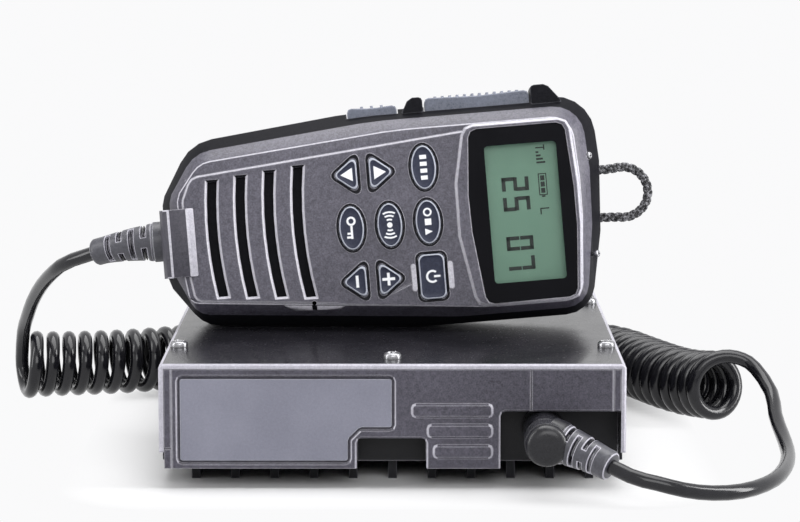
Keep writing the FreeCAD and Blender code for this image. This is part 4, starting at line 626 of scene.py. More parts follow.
def makeSoftEdges(values):
    # joins a node's loose triangles and shades them smooth, except over its sharp edges
    tree = bpy.data.node_groups.new("softEdges", "GeometryNodeTree")
    tree.interface.new_socket("Geometry", in_out="INPUT", socket_type="NodeSocketGeometry")
    tree.interface.new_socket("Geometry", in_out="OUTPUT", socket_type="NodeSocketGeometry")
    inside = tree.nodes.new("NodeGroupInput")
    outside = tree.nodes.new("NodeGroupOutput")
    merge = tree.nodes.new("GeometryNodeMergeByDistance")
    merge.inputs["Distance"].default_value = values["merge"]
    smooth = tree.nodes.new("GeometryNodeSetShadeSmooth")
    sharp = tree.nodes.new("GeometryNodeSetShadeSmooth")
    sharp.domain = "EDGE"
    sharp.inputs["Shade Smooth"].default_value = False
    angle = tree.nodes.new("GeometryNodeInputMeshEdgeAngle")
    compare = tree.nodes.new("FunctionNodeCompare")
    compare.operation = "GREATER_THAN"
    compare.inputs[1].default_value = math.radians(values["angle"])
    tree.links.new(inside.outputs[0], merge.inputs["Geometry"])
    tree.links.new(merge.outputs["Geometry"], smooth.inputs["Geometry"])
    tree.links.new(smooth.outputs["Geometry"], sharp.inputs["Geometry"])
    tree.links.new(angle.outputs["Unsigned Angle"], compare.inputs[0])
    tree.links.new(compare.outputs[0], sharp.inputs["Selection"])
    tree.links.new(sharp.outputs["Geometry"], outside.inputs[0])
    return tree


softEdges = makeSoftEdges(softValues)
for finish, names in nodeFinishes.items():
    for name in names:
        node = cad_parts[name]
        node.data.materials.clear()
        node.data.materials.append(finishes[finish])
        node.modifiers.new("softEdges", "NODES").node_group = softEdges
        weighted = node.modifiers.new("flatFaces", "WEIGHTED_NORMAL")
        weighted.keep_sharp = True
print("finishes on the frame's nodes")


# cord

cordValues = dict(
    diameter=4.6,
    length=3227.0,
    curlRadius=8.9,
    gapStart=0.95,
    gapEnd=0.7,
    lastTurn=0.9,           # share of the last curl that is wound
    pointsPerCurl=16,
    opening=0.7,            # growth of the curls at both ends of the coil
    openingFade=1.2,
    stretch=9.0,            # how far the last half curl is pulled out
    bendReach=4,            # points to each side over which the axis' bend is measured
    axisSteps=40,
    pathSteps=3,
    tubeSteps=2,
    rounding=4,
    follows=((0, 0, 0.0256), (0, 0, 0.0603)),   # metres
    handsetLead=[(-96.86, 6.98, 60.34), (-106.59, 10.95, 57.08), (-111.6, 19.0, 52.8),
                 (-117.9, 34.0, 46.1), (-123.3, 49.0, 37.7), (-126.8, 62.0, 29.9),
                 (-129.4, 71.1, 24.5)],
    coilAxis=[(-128.8, 69.0, 12.4), (-106.0, 74.5, 11.85), (-82.0, 83.0, 11.85),
              (-56.0, 101.0, 11.85), (-26.0, 119.0, 11.85), (8.0, 125.0, 11.85),
              (40.0, 118.5, 11.85), (64.0, 103.5, 11.85), (80.4, 84.0, 11.85),
              (87.2, 64.0, 11.85), (94.2, 46.5, 11.85), (102.0, 33.0, 11.95),
              (108.5, 20.5, 14.0)],
    plugLead=[(124.28, 5.55, 14.14), (123.1, -7.0, 9.3), (124.1, -20.0, 5.5),
              (124.1, -33.5, 3.3), (122.4, -48.3, 2.8), (117.5, -68.6, 2.8),
              (111.3, -81.9, 2.8), (103.0, -92.1, 2.9), (93.6, -97.5, 3.6),
              (85.0, -101.0, 5.3), (76.7, -102.5, 7.9), (69.94, -100.75, 8.96),
              (64.1, -96.8, 11.5)],
)


def routeCurve(name, points, resolution):
    # a smooth line drawn by its control points, in metres
    curve = bpy.data.curves.new(name, "CURVE")
    curve.dimensions = "3D"
    curve.resolution_u = resolution
    spline = curve.splines.new("NURBS")
    spline.points.add(len(points) - 1)
    for target, point in zip(spline.points, points):
        target.co = (*point, 1.0)
    spline.order_u = 3
    spline.use_endpoint_u = True
    return curve


def linePoints(curve):
    bare = bpy.data.objects.new("line", curve)
    mesh = bpy.data.meshes.new_from_object(bare)
    points = [vertex.co.copy() for vertex in mesh.vertices]
    bpy.data.objects.remove(bare)
    bpy.data.meshes.remove(mesh)
    return points


def lineLength(path):
    return sum((b - a).length for a, b in zip(path, path[1:]))


def tubeFrom(curve, name, radius, rounding):
    # the round skin of a line, smooth and closed at its ends
    curve.bevel_depth = radius
    curve.bevel_resolution = rounding
    curve.use_fill_caps = True
    tube = bpy.data.objects.new(name + "Line", curve)
    mesh = bpy.data.meshes.new_from_object(tube)
    mesh.name = name
    bpy.data.objects.remove(tube)
    for face in mesh.polygons:
        face.use_smooth = True
    return mesh


def windCurls(values):
    # points of the curls round the coil's axis; they lie closer on the inside of a bend
    route = routeCurve("coilAxis", [Vector(p) for p in values["coilAxis"]], values["axisSteps"])
    axis = linePoints(route)
    last = len(axis) - 1
    reach = [0.0]
    for a, b in zip(axis, axis[1:]):
        reach.append(reach[-1] + (b - a).length)
    headings = [(axis[min(i + 1, last)] - axis[max(i - 1, 0)]).normalized()
                for i in range(len(axis))]
    turns = [0.0]
    for i in range(1, len(axis)):
        step = reach[i] - reach[i - 1]
        before, after = max(i - values["bendReach"], 0), min(i + values["bendReach"], last)
        near = headings[before].angle(headings[after], 0.0)
        span = reach[after] - reach[before]
        gap = values["gapStart"] + (values["gapEnd"] - values["gapStart"]) * reach[i] / reach[-1]
        pitch = (values["diameter"] + gap) / (1 - values["curlRadius"] * near / span)
        turns.append(turns[-1] + step / pitch)
    wound = round(turns[-1] - values["lastTurn"]) + values["lastTurn"]
    turns = [turn * wound / turns[-1] for turn in turns]
    steps = round(wound * values["pointsPerCurl"])
    fullness = 1 / math.cos(math.pi / values["pointsPerCurl"]) ** 2
    points = []
    place = 1
    for k in range(steps + 1):
        turn = wound * k / steps
        while place < len(turns) - 1 and turns[place] < turn:
            place += 1
        share = (turn - turns[place - 1]) / (turns[place] - turns[place - 1])
        centre = axis[place - 1].lerp(axis[place], share)
        heading = headings[place - 1].lerp(headings[place], share).normalized()
        outwards = heading.cross(Vector((0, 0, 1))).normalized()
        upwards = outwards.cross(heading)
        left = wound - turn
        ends = math.exp(-turn * values["openingFade"]) + math.exp(-left * values["openingFade"])
        radius = (values["curlRadius"] + values["opening"] * ends) * fullness
        angle = 2 * math.pi * turn + math.pi
        pulled = heading * (values["stretch"] * max(0.0, 1 - 2 * left) ** 2)
        points.append(centre + pulled
                      + (outwards * math.cos(angle) + upwards * math.sin(angle)) * radius)
    print("curls", round(wound, 1), "points", len(points))
    return points


def makeCord(values):
    points = ([Vector(p) for p in values["handsetLead"]] + windCurls(values)
              + [Vector(p) for p in values["plugLead"]])
    curve = routeCurve("cordRoute", [p * mm for p in points], values["pathSteps"])
    path = linePoints(curve)
    curve.resolution_u = values["tubeSteps"]
    skin = tubeFrom(curve, "cord", values["diameter"] * mm / 2, values["rounding"])
    cord = addObject("cord", skin)
    cord.data.materials.append(finishes["cordJacket"])
    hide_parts("cord_coil", "cord_handset_lead", "cord_plug_lead")
    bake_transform(cord)
    print("cord length", round(lineLength(path), 4), "vertices", len(cord.data.vertices))


# boots: ribbed sleeves that bend with the cord

bootValues = dict(
    handset=dict(start=(-77.1, 1.0, -17.3), aim=(-1.0, 0.0, 0.0), end=(-96.2, -0.7, -21.3),
                 radii=(6.2, 4.4), upwards=(0, 1, 0), body="handset", node="handset_cord_boot",
                 # X and radius of the neck in the shell's wall and of its round sleeve
                 neck=[(-68.2, 7.0), (-69.8, 7.0), (-69.9, 5.9), (-72.6, 5.9), (-72.7, 6.1),
                       (-73.1, 6.5), (-76.5, 6.5), (-76.9, 6.1), (-77.0, 5.4)]),
    plug=dict(start=(50.6, -89.0, 16.6), aim=(0.86, -0.42, -0.28), end=(64.1, -96.8, 11.5),
              radii=(6.2, 4.6), upwards=(0, 0, 1), body="unit", node="plug_boot", neck=[]),
    steps=26,
    slots=4,
    slotStart=0.45,         # shares of the length from one slot to the next
    slotSpare=0.3,
    core=3.3,               # radius at the bottom of a slot
    web=24.0,               # degrees from the middle of the rubber between slots to a slot
    fill=0.82,              # share of the boot that tapers and is slotted
    taper=0.8,
    lip=(0.97, 0.5),        # from this share on its end is narrower, by this much
    segments=30,
    merge=0.002,
    sharp=50.0,
    edge=0.28,
)


def bendPlaces(values, steps):
    # places and directions along the boot's gentle bend
    start, end = Vector(values["start"]), Vector(values["end"])
    aim = Vector(values["aim"]).normalized()
    middle = start + aim * (end - start).length / 2
    places = []
    for i in range(steps + 1):
        share = i / steps
        near = start.lerp(middle, share)
        far = middle.lerp(end, share)
        places.append((share, near.lerp(far, share), (far - near).normalized()))
    return places


def ringPlace(place, direction, radius, up):
    across = direction.cross(up).normalized()
    turn = Matrix((across, across.cross(direction).normalized() * -1, direction)).transposed()
    return (Matrix.Translation(place) @ turn.to_4x4()
            @ Matrix.Diagonal((radius, radius, radius, 1.0)))


def growSleeve(bm, stations, up, segments):
    # extrudes a disc from one station (place, direction, radius) to the next
    last = ringPlace(*stations[0], up)
    made = bmesh.ops.create_circle(bm, cap_ends=True, segments=segments, radius=1.0, matrix=last)
    face = made["verts"][0].link_faces[0]
    bands = []
    for station in stations[1:]:
        faces, verts = raiseFaces(bm, [face], not bands)
        face = faces[0]
        here = ringPlace(*station, up)
        bmesh.ops.transform(bm, matrix=here @ last.inverted(), verts=verts)
        last = here
        bands.append([side for edge in face.edges for side in edge.link_faces
                      if side is not face])
    return bands


def makeBoot(name, own, values):
    bm = bmesh.new()
    big, small = own["radii"]
    y, z = own["start"][1:]
    up = Vector(own["upwards"])
    stations = [(Vector((x, y, z)), Vector(own["aim"]), radius) for x, radius in own["neck"]]
    lead = len(stations)
    for share, spot, direction in bendPlaces(own, values["steps"]):
        radius = big + (small - big) * min(share / values["fill"], 1.0) ** values["taper"]
        if share > values["lip"][0]:
            radius -= values["lip"][1]
        stations.append((spot, direction, radius))
    bands = growSleeve(bm, stations, up, values["segments"])
    perSlot = values["steps"] * values["fill"] / (values["slots"] + values["slotSpare"])
    for i in range(values["slots"]):
        first = lead + round(perSlot * (i + values["slotStart"]))
        across = i % 2
        for k in range(first, first + 2):
            spot, direction, radius = stations[k]
            space = ringPlace(spot, direction, 1.0, up)
            cut = []
            for face in bands[k]:
                away = space.inverted() @ face.calc_center_median()
                angle = math.degrees(math.atan2(away[1 - across], away[across])) % 180.0
                if values["web"] < angle < 180.0 - values["web"]:
                    cut.append(face)
            inner, verts = raiseFaces(bm, cut)
            # the slots' floors get painted shade
            for face in inner:
                face.material_index = 2
            share = values["core"] / radius
            squeeze = space @ Matrix.Diagonal((share, share, 1.0, 1.0)) @ space.inverted()
            bmesh.ops.transform(bm, matrix=squeeze, verts=verts)
    bmesh.ops.remove_doubles(bm, verts=bm.verts, dist=values["merge"])
    bmesh.ops.recalc_face_normals(bm, faces=bm.faces)
    sharp = math.radians(values["sharp"])
    edges = [edge for edge in bm.edges if edge.calc_face_angle(0.0) > sharp]
    made = bmesh.ops.bevel(bm, geom=edges, offset=values["edge"], offset_type="OFFSET",
                           segments=2, profile=0.5, affect="EDGES", material=-1,
                           clamp_overlap=True)
    # the bevelled rib edges get a painted highlight
    for face in made["faces"]:
        face.material_index = 1
    return finishPiece(name, bm, own["body"], ["bootRubber", "paintedEdgeHighlight", "paintedRecessShade"],
                       [own["node"]])


makeBoot("handsetBoot", bootValues["handset"], bootValues)
plugBoot = makeBoot("plugBoot", bootValues["plug"], bootValues)
print("boots made")


# microphone plug

plugValues = dict(
    place=(45.4, -96.0, 17.0),
    # distance from its front, and radius
    profile=[(0.0, 3.6), (0.25, 4.6), (0.8, 5.5), (1.5, 6.05), (2.4, 6.3), (3.0, 6.3),
             (3.1, 6.05), (3.6, 6.05), (3.7, 6.35), (10.5, 6.35), (10.7, 6.1), (11.6, 6.1),
             (11.8, 6.3), (30.0, 6.3), (30.1, 3.4), (34.0, 3.4)],
    knurl=(9, 0.16, 0.14),  # the ribbed length of the profile, and the ribs' inset and depth
    collar=6.0,             # radius of the collar that the boot starts from
    collarFoot=-5.0,
    collarLevels=[(-4.7, 0.5, 0), (-0.6, 0.5, 0), (0.0, 0.1, 0)],
    segments=60,
)


def makePlug(values):
    bm = bmesh.new()
    first, radius = values["profile"][0]
    face = ovalFace(bm, 0, 0, radius, radius, first, values["segments"])
    for i, (reach, size) in enumerate(values["profile"][1:], 1):
        face = stack(bm, face, (0, 0), (radius, radius), [(reach, size - radius, 0)], i == 1)
        radius = size
        if i == values["knurl"][0]:
            ribs = [side for edge in face.edges for side in edge.link_faces if side is not face]
    bmesh.ops.recalc_face_normals(bm, faces=bm.faces)
    bmesh.ops.inset_individual(bm, faces=ribs, thickness=values["knurl"][1],
                               depth=values["knurl"][2], use_even_offset=True)
    bmesh.ops.transform(bm, matrix=standing(values["place"], (0, 1, 0)), verts=bm.verts)
    collar = bmesh.new()
    size = values["collar"]
    face = ovalFace(collar, 0, 0, size, size, values["collarFoot"])
    stack(collar, face, (0, 0), (size, size), values["collarLevels"])
    boot = bootValues["plug"]
    bmesh.ops.transform(collar, matrix=standing(boot["start"], boot["aim"]), verts=collar.verts)
    mesh = bpy.data.meshes.new("collar")
    collar.to_mesh(mesh)
    collar.free()
    bm.from_mesh(mesh)
    bpy.data.meshes.remove(mesh)
    return finishPiece("plug", bm, "unit", ["plugFinish"], ["mic_plug"])


plug = makePlug(plugValues)
print("plug made")

makeCord(cordValues)
print("cord made")


# loop that the handset hangs by

loopValues = dict(
    radius=8.3,
    centre=(75.95, 4.6, -17.0),
    ends=[(66.0, 7.7), (68.8, 7.7), (70.9, 7.75)],     # from the handset, up from the middle
    meeting=112.0,          # degrees from its tip to where it leaves the round part
    points=8,
    swell=0.6,              # how far the control points lie outside the curve
    steps=10,
    diameter=3.0,
    strands=6,
    strand=0.62,
    rounding=2,
    lay=7.5,                # mm along the loop for one turn of a strand
    weave=0.16,             # how far a strand passes over and under the others
)


def makeLoop(values):
    x0, y0, z0 = values["centre"]
    upper = [(x, y0 + y, z0) for x, y in values["ends"]]
    lower = [(x, y0 - y, z0) for x, y in reversed(values["ends"])]
    bend = []
    meeting, count = math.radians(values["meeting"]), values["points"]
    control = values["radius"] / math.cos(meeting / count) ** values["swell"]
    for i in range(count):
        angle = meeting * (1 - 2 * i / (count - 1))
        bend.append((x0 + control * math.cos(angle), y0 + control * math.sin(angle), z0))
    route = [handsetPlace @ (Vector(p) * mm) for p in upper + bend + lower]
    path = linePoints(routeCurve("loopRoute", route, values["steps"]))
    out = handsetPlace.to_3x3() @ Vector((0, 0, 1))
    strands = bpy.data.curves.new("loopStrands", "CURVE")
    strands.dimensions = "3D"
    reach = (values["diameter"] / 2 - values["strand"]) * mm
    for side in (1, -1):
        for k in range(values["strands"] // 2):
            spline = strands.splines.new("POLY")
            spline.points.add(len(path) - 1)
            run = 0.0
            for i, point in enumerate(path):
                ahead = path[min(i + 1, len(path) - 1)] - path[max(i - 1, 0)]
                across = ahead.cross(out).normalized()
                run += (point - path[max(i - 1, 0)]).length
                turn = 2 * math.pi * (run / (values["lay"] * mm) + 2 * k / values["strands"])
                weave = 1 + values["weave"] * side * math.sin(turn * values["strands"] / 2)
                turn = side * turn
                away = across * math.cos(turn) + out * math.sin(turn)
                spline.points[i].co = (*(point + away * reach * weave), 1.0)
    spline = strands.splines.new("POLY")
    spline.points.add(len(path) - 1)
    for target, point in zip(spline.points, path):
        target.co = (*point, 1.0)
    mesh = tubeFrom(strands, "hangingLoop", values["strand"] * mm, values["rounding"])
    loop = addObject("hangingLoop", mesh, "handset")
    mesh.materials.append(finishes["braidYarn"])
    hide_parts("hanging_loop")


makeLoop(loopValues)


# moulded and folded pieces with painted highlights on their edges and some painted shade, from
# merged copies of the frame's nodes

def within(value, ends):
    return ends[0] < value < ends[1]


def mergedCopy(name, values, place):
    # in millimetres, with the loose triangles joined into whole faces
    bm = bmesh.new()
    bm.from_mesh(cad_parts[name].data)
    bmesh.ops.transform(bm, matrix=Matrix.Scale(1 / mm, 4) @ place.inverted(), verts=bm.verts)
    bmesh.ops.remove_doubles(bm, verts=bm.verts, dist=values["merge"])
    return bm


def joinFlat(bm, values):
    # makes the flat rim and the slope outside it whole again, so that their edge can be bevelled
    bm.normal_update()
    edges = [edge for edge in bm.edges
             if all(within(face.calc_center_median().z, values["joined"])
                    and face.normal.z > values["facing"] for face in edge.link_faces)]
    bmesh.ops.dissolve_limit(bm, angle_limit=math.radians(values["flat"]), verts=[],
                             edges=edges, use_dissolve_boundaries=False, delimit=set())
    bm.normal_update()


shellValues = dict(
    merge=0.12,             # mm
    flat=0.7,               # degrees up to which neighbouring faces are one
    facing=0.2,
    joined=(-4.9, -0.55),   # depths between which flat faces are made whole
    step=-0.6,              # the rim below the keypad, raised to the keypad's face
    stepAcross=(-19.0, 31.0),
    stepBelow=-4.0,
    near=0.05,              # mm by which a depth may differ from the step's or the face's
    shoulder=-5.0,          # deeper than this the shell takes the near-black finish
    inwards=-0.5,           # faces that look more to the back than this aren't seen
    slope=(0.25, 0.95),     # faces with this much rise to the front get a painted highlight
    brightDepth=(-0.7, 1.05),
    rimAngle=(14.0, 75.0),  # edge round the rim, in degrees
    rimDepth=-1.5,          # its outer face lies deeper than this
    rimBevel=0.25,
    darkEnds=-24.0,         # the slots' upper ends, up to this X, get painted shade instead
    endFacing=-0.5,
    guardX=(6.0, 19.5),     # the guards beside the power key, from and to; their tops get a painted highlight
    guardY=(-26.0, -8.0),
    guardDepth=0.1,
)


def makeFrontShell(values):
    bm = mergedCopy("handset_front_shell", values, handsetPlace)
    for vert in bm.verts:
        x, y, z = vert.co
        onStep = abs(z - values["step"]) < values["near"]
        if onStep and within(x, values["stepAcross"]) and y < values["stepBelow"]:
            vert.co.z = 0.0
    bmesh.ops.remove_doubles(bm, verts=bm.verts, dist=values["merge"])
    joinFlat(bm, values)
    angles = [math.radians(angle) for angle in values["rimAngle"]]
    rim = []
    for edge in bm.edges:
        level = all(min(abs(vert.co.z - values["step"]), abs(vert.co.z)) < values["near"]
                    for vert in edge.verts)
        if level and len(edge.link_faces) == 2:
            outer = min(face.calc_center_median().z for face in edge.link_faces)
            if outer < values["rimDepth"] and within(edge.calc_face_angle_signed(0.0), angles):
                rim.append(edge)
    made = bmesh.ops.bevel(bm, geom=rim, offset=values["rimBevel"], offset_type="OFFSET",
                           segments=2, profile=0.5, affect="EDGES", material=-1)
    bm.normal_update()
    for face in bm.faces:
        x, y, depth = face.calc_center_median()
        normal = face.normal
        if depth < values["shoulder"] - values["near"] and normal.z > values["inwards"]:
            face.material_index = 2
        # slopes get a painted highlight, and the slots' upper ends facing away get painted shade
        elif within(depth, values["brightDepth"]) and within(normal.z, values["slope"]):
            shadedSlotEnd = x < values["darkEnds"] and normal.y < values["endFacing"] and y > 0
            face.material_index = 2 if shadedSlotEnd else 1
        # the guards' tops get a painted highlight
        elif (depth > values["guardDepth"] and within(x, values["guardX"])
              and within(y, values["guardY"])):
            face.material_index = 1
    # the bevelled rim gets a painted highlight
    for face in made["faces"]:
        face.material_index = 1
    print("front shell", len(bm.verts), "vertices", len(rim), "rim edges")
    finishPiece("frontShell", bm, "handset", ["handsetPlastic", "paintedShellHighlight", "shellBlackAndPaintedShade"],
                ["handset_front_shell"], sharp=30.0)


makeFrontShell(shellValues)
print("front shell made")

panelValues = dict(
    merge=0.004,
    front=-75.0,
    slope=(-0.95, -0.25),   # normals of edges that turn from the front to a side; those turned sideways get a painted highlight
    slopeDepth=(-0.8, 0.7),
    sideways=0.3,
    lineX=66.4,             # the groove near each side, whose floor gets a painted highlight
    lineHalf=0.6,
    lineDepth=(0.02, 0.8),
    lineFacing=-0.9,
)


def makePanel(values):
    bm = mergedCopy("front_panel", values, Matrix.Identity(4))
    bm.normal_update()
    for face in bm.faces:
        centre = face.calc_center_median()
        behind = centre.y - values["front"]
        edge = (within(behind, values["slopeDepth"]) and within(face.normal.y, values["slope"])
                and abs(face.normal.x) > values["sideways"])
        line = (within(behind, values["lineDepth"]) and face.normal.y < values["lineFacing"]
                and abs(abs(centre.x) - values["lineX"]) < values["lineHalf"])
        # painted highlight on the edges turned sideways and on the grooves near each side
        if edge or line:
            face.material_index = 1
    finishPiece("frontPanel", bm, "unit", ["unitPlastic", "paintedEdgeHighlight"],
                ["front_panel"], sharp=40.0)


makePanel(panelValues)

coverValues = dict(
    merge=0.004,
    edgeAbove=36.4,         # the sheet's front edge and folds get a painted highlight above this height
    fold=(0.12, 0.97),
    facing=-0.2,
    sideFront=-73.0,        # in front of this the sheet's sides get a painted highlight on their edge too
)


def makeCover(values):
    bm = mergedCopy("top_cover", values, Matrix.Identity(4))
    bm.normal_update()
    for face in bm.faces:
        centre = face.calc_center_median()
        front = face.normal.y < values["facing"]
        fold = within(abs(face.normal.x), values["fold"]) and face.normal.z > 0
        high = centre.z > values["edgeAbove"]
        # painted highlight on the front edge, the folds and the sides' front edges
        if high and (front or fold) or front and centre.y < values["sideFront"]:
            face.material_index = 1
    finishPiece("topCover", bm, "unit", ["coverPaint", "paintedEdgeHighlight"],
                ["top_cover"], sharp=40.0)


makeCover(coverValues)
print("front panel and cover made")

jackCoverValues = dict(
    # the rubber's section, from the grille's side round the shell's end, on X and Z
    section=[(-61.9, 0.06), (-63.9, 1.5), (-70.0, 1.5), (-71.7, 0.1), (-73.0, -3.2),
             (-73.0, -9.7), (-72.3, -9.7), (-70.5, -5.0), (-67.3, 0.06)],
    low=-11.2,
    high=10.6,
    bevel=0.45,
    bevelAngle=20.0,
    bevelAbove=0.5,
    bright=0.1,             # bevels that turn sideways by more than this get a painted highlight
    # faces that look to the side and the front by more than this get a fainter painted highlight
    slope=0.3,
)


def makeJackCover(values):
    bm = bmesh.new()
    face = bm.faces.new([bm.verts.new((x, values["low"], z)) for x, z in values["section"]])
    lifted = raiseFaces(bm, [face], True)[1]
    bmesh.ops.translate(bm, vec=(0, values["high"] - values["low"], 0), verts=lifted)
    bmesh.ops.recalc_face_normals(bm, faces=bm.faces)
    sharp = math.radians(values["bevelAngle"])
    edges = [edge for edge in bm.edges if edge.calc_face_angle_signed(0.0) > sharp
             and max(vert.co.z for vert in edge.verts) > values["bevelAbove"]]
    made = bmesh.ops.bevel(bm, geom=edges, offset=values["bevel"], offset_type="OFFSET",
                           segments=2, profile=0.5, affect="EDGES", material=-1)
    bm.normal_update()
    for face in bm.faces:
        # sideways bevels get a painted highlight, and the faces turned to the side and front a
        # fainter one
        if face in made["faces"] and abs(face.normal.x) > values["bright"]:
            face.material_index = 1
        elif min(face.normal.x, face.normal.z) > values["slope"]:
            face.material_index = 2
    finishPiece("jackCover", bm, "jack_cover", ["softRubber", "paintedShellHighlight", "paintedEdgeHighlight"],
                ["jack_cover"], sharp=35.0)


makeJackCover(jackCoverValues)

scoopValues = dict(
    middle=-26.0,           # X of the microphone's hole
    half=9.6,
    depth=2.5,              # on the handset's Y, down the lower slope
    start=0.15,
    round=0.7,
    steps=18,
    edge=(-23.45, -0.095),  # where the slope starts, and how it falls along X
    fall=1.275,             # the slope's drop in Z for each mm in Y
    top=-0.62,
    rise=0.10,
    merge=0.005,
    sink=(0, -0.08, -0.06),
    notch=(0.75, 1.5),      # half its width, and its depth
    notchRise=0.05,
    notchSink=(0, 0, -0.2),
)


def makeScoop(values):
    # the hollow below the microphone's hole, as a crescent in a painted highlight, with its notch
    # in painted shade
    def slopePoint(x, down):
        start, lean = values["edge"]
        return (x, start + lean * (x - values["middle"]) - down,
                values["top"] - values["fall"] * down + values["rise"])

    bm = bmesh.new()
    start, steps = values["start"], values["steps"]
    upper = []
    lower = []
    for i in range(steps + 1):
        share = i / steps
        x = values["middle"] + values["half"] * (2 * share - 1)
        hollow = values["depth"] * math.sin(math.pi * share) ** values["round"]
        upper.append(slopePoint(x, start))
        lower.append(slopePoint(x, start + 2 * values["merge"] + hollow))
    for i in range(steps):
        bm.faces.new([bm.verts.new(p) for p in (upper[i], lower[i], lower[i + 1], upper[i + 1])])
    bmesh.ops.remove_doubles(bm, verts=bm.verts, dist=values["merge"])
    lifted = raiseFaces(bm, list(bm.faces), True)[1]
    bmesh.ops.translate(bm, vec=values["sink"], verts=lifted)
    half, down = values["notch"]
    before = set(bm.faces)
    corners = [slopePoint(values["middle"] + side * half, reach)
               for side, reach in ((-1, 0.0), (-1, down), (1, down), (1, 0.0))]
    face = bm.faces.new([bm.verts.new((x, y, z + values["notchRise"])) for x, y, z in corners])
    lifted = raiseFaces(bm, [face], True)[1]
    bmesh.ops.translate(bm, vec=values["notchSink"], verts=lifted)
    # the notch's walls and floor get painted shade
    for face in set(bm.faces) - before:
        face.material_index = 1
    finishPiece("microphoneScoop", bm, "handset", ["paintedShellHighlight", "paintedRecessShade"],
                sharp=60.0)


makeScoop(scoopValues)
print("jack cover and microphone scoop made")


# keys, their grooves and their signs

keyValues = dict(
    oval=(4.0, 7.0),
    triangle=dict(depth=8.0, half=6.2, radius=1.5),
    power=(4.2, 7.2, 2.0),
    places=dict(key_down=(-17.0, 17.0, -1), key_up=(2.8, 17.0, 1), key_minus=(-16.7, -17.1, -1),
                key_plus=(3.2, -17.1, 1), key_function=(12.2, 17.4, 0),
                key_lock=(-12.2, 0.0, 0), key_call=(0.0, 0.0, 0), key_mode=(12.2, 0.0, 0),
                key_power=(12.2, -17.4, 0)),
    foot=0.6,
    # height, growth and material slot of each level, from the key's foot up; slot 1 is the
    # painted highlight along the rim
    levels=[(-2.2, 0.6, 0), (-2.19, 0.0, 0), (0.42, 0.0, 0), (0.62, -0.08, 0),
            (0.78, -0.30, 1), (0.80, -0.52, 1), (0.62, -0.78, 0), (0.54, -1.25, 0),
            (0.52, -1.9, 0)],
    # the groove and the lip round it; the groove's walls are painted shade
    grooveFoot=-0.3,
    groove=[(0.02, 1.05, 0), (0.10, 0.98, 0), (0.10, 0.86, 0), (0.03, 0.78, 1),
            (0.03, 0.24, 1), (-0.6, 0.24, 1)],
    level=0.0001,           # how far a flat face's corners may be off its height
    signBottom=0.4,
    signTop=0.60,
    arcStep=15,             # degrees
)
# the signs, from the middle of each key: a plate has corners, a bar has its middle and half
# sizes, and an arc has its middle, radius, width, start and sweep in degrees
keySigns = dict(
    key_down=[("plate", (-2.3, 0.0), (1.5, -2.1), (1.5, 2.1))],
    key_up=[("plate", (2.3, 0.0), (-1.5, 2.1), (-1.5, -2.1))],
    key_minus=[("bar", 0.0, 0.0, 0.42, 1.9)],
    key_plus=[("bar", 0.0, 0.0, 0.42, 2.0), ("bar", -1.21, 0.0, 0.79, 0.42),
              ("bar", 1.21, 0.0, 0.79, 0.42)],
    key_power=[("arc", 0.0, 0.0, 1.75, 0.62, 50, 260), ("bar", 1.5, 0.0, 1.0, 0.32)],
    key_lock=[("arc", 0.0, 2.2, 1.15, 0.6, 0, 360), ("bar", 0.0, -1.2, 0.32, 2.2),
              ("bar", -0.95, -2.9, 0.65, 0.32), ("bar", -0.85, -1.7, 0.55, 0.32)],
    key_function=[("bar", 0.0, 3.3 - 2.2 * k, 1.05, 0.62) for k in range(4)],
    key_call=[("arc", 0.0, 0.0, 0.42, 0.84, 0, 360)] + [
        ("arc", 0.0, 0.0, radius, 0.5, start, 56)
        for radius in (1.75, 2.95, 4.1) for start in (62, 242)],
    key_mode=[("arc", 0.0, 3.1, 1.1, 0.5, 0, 360), ("bar", 0.0, 0.0, 1.0, 1.0),
              ("plate", (-1.1, -4.1), (1.2, -3.1), (-1.1, -2.1))],
)


def keyShape(bm, values, name, z):
    # the key's outline, and the centre and half sizes that it grows from
    x, y, side = values["places"][name]
    if side:
        form = values["triangle"]
        base = x - side * form["depth"]
        corners = [(x, y, form["radius"]), (base, y + side * form["half"], form["radius"]),
                   (base, y - side * form["half"], form["radius"])]
        slant = math.hypot(form["depth"], form["half"])
        inner = form["depth"] * form["half"] / (slant + form["half"])
        return outlineFace(bm, corners, z), (base + side * inner, y), (inner, inner)
    if name == "key_power":
        halfX, halfY, radius = values["power"]
        corners = [(x - halfX, y - halfY, radius), (x + halfX, y - halfY, radius),
                   (x + halfX, y + halfY, radius), (x - halfX, y + halfY, radius)]
        return outlineFace(bm, corners, z), (x, y), (halfX, halfY)
    halfX, halfY = values["oval"]
    return ovalFace(bm, x, y, halfX, halfY, z), (x, y), (halfX, halfY)


def signPlate(bm, corners, values):
    before = set(bm.faces)
    verts = [bm.verts.new((x, y, values["signBottom"])) for x, y in corners]
    lifted = raiseFaces(bm, [bm.faces.new(verts)], True)[1]
    bmesh.ops.translate(bm, vec=(0, 0, values["signTop"] - values["signBottom"]), verts=lifted)
    for part in set(bm.faces) - before:
        part.material_index = 2


def signBar(bm, middle, halfX, halfY, values):
    x, y = middle
    signPlate(bm, [(x - halfX, y - halfY), (x + halfX, y - halfY), (x + halfX, y + halfY),
                   (x - halfX, y + halfY)], values)


def signArc(bm, middle, radius, width, start, sweep, values):
    # part of a ring, in straight lengths
    x, y = middle
    steps = max(3, round(abs(sweep) / values["arcStep"]))
    for i in range(steps):
        a = math.radians(start + sweep * i / steps)
        b = math.radians(start + sweep * (i + 1) / steps)
        corners = [(radius - width / 2, a), (radius + width / 2, a),
                   (radius + width / 2, b), (radius - width / 2, b)]
        signPlate(bm, [(x + reach * math.cos(angle), y + reach * math.sin(angle))
                       for reach, angle in corners], values)


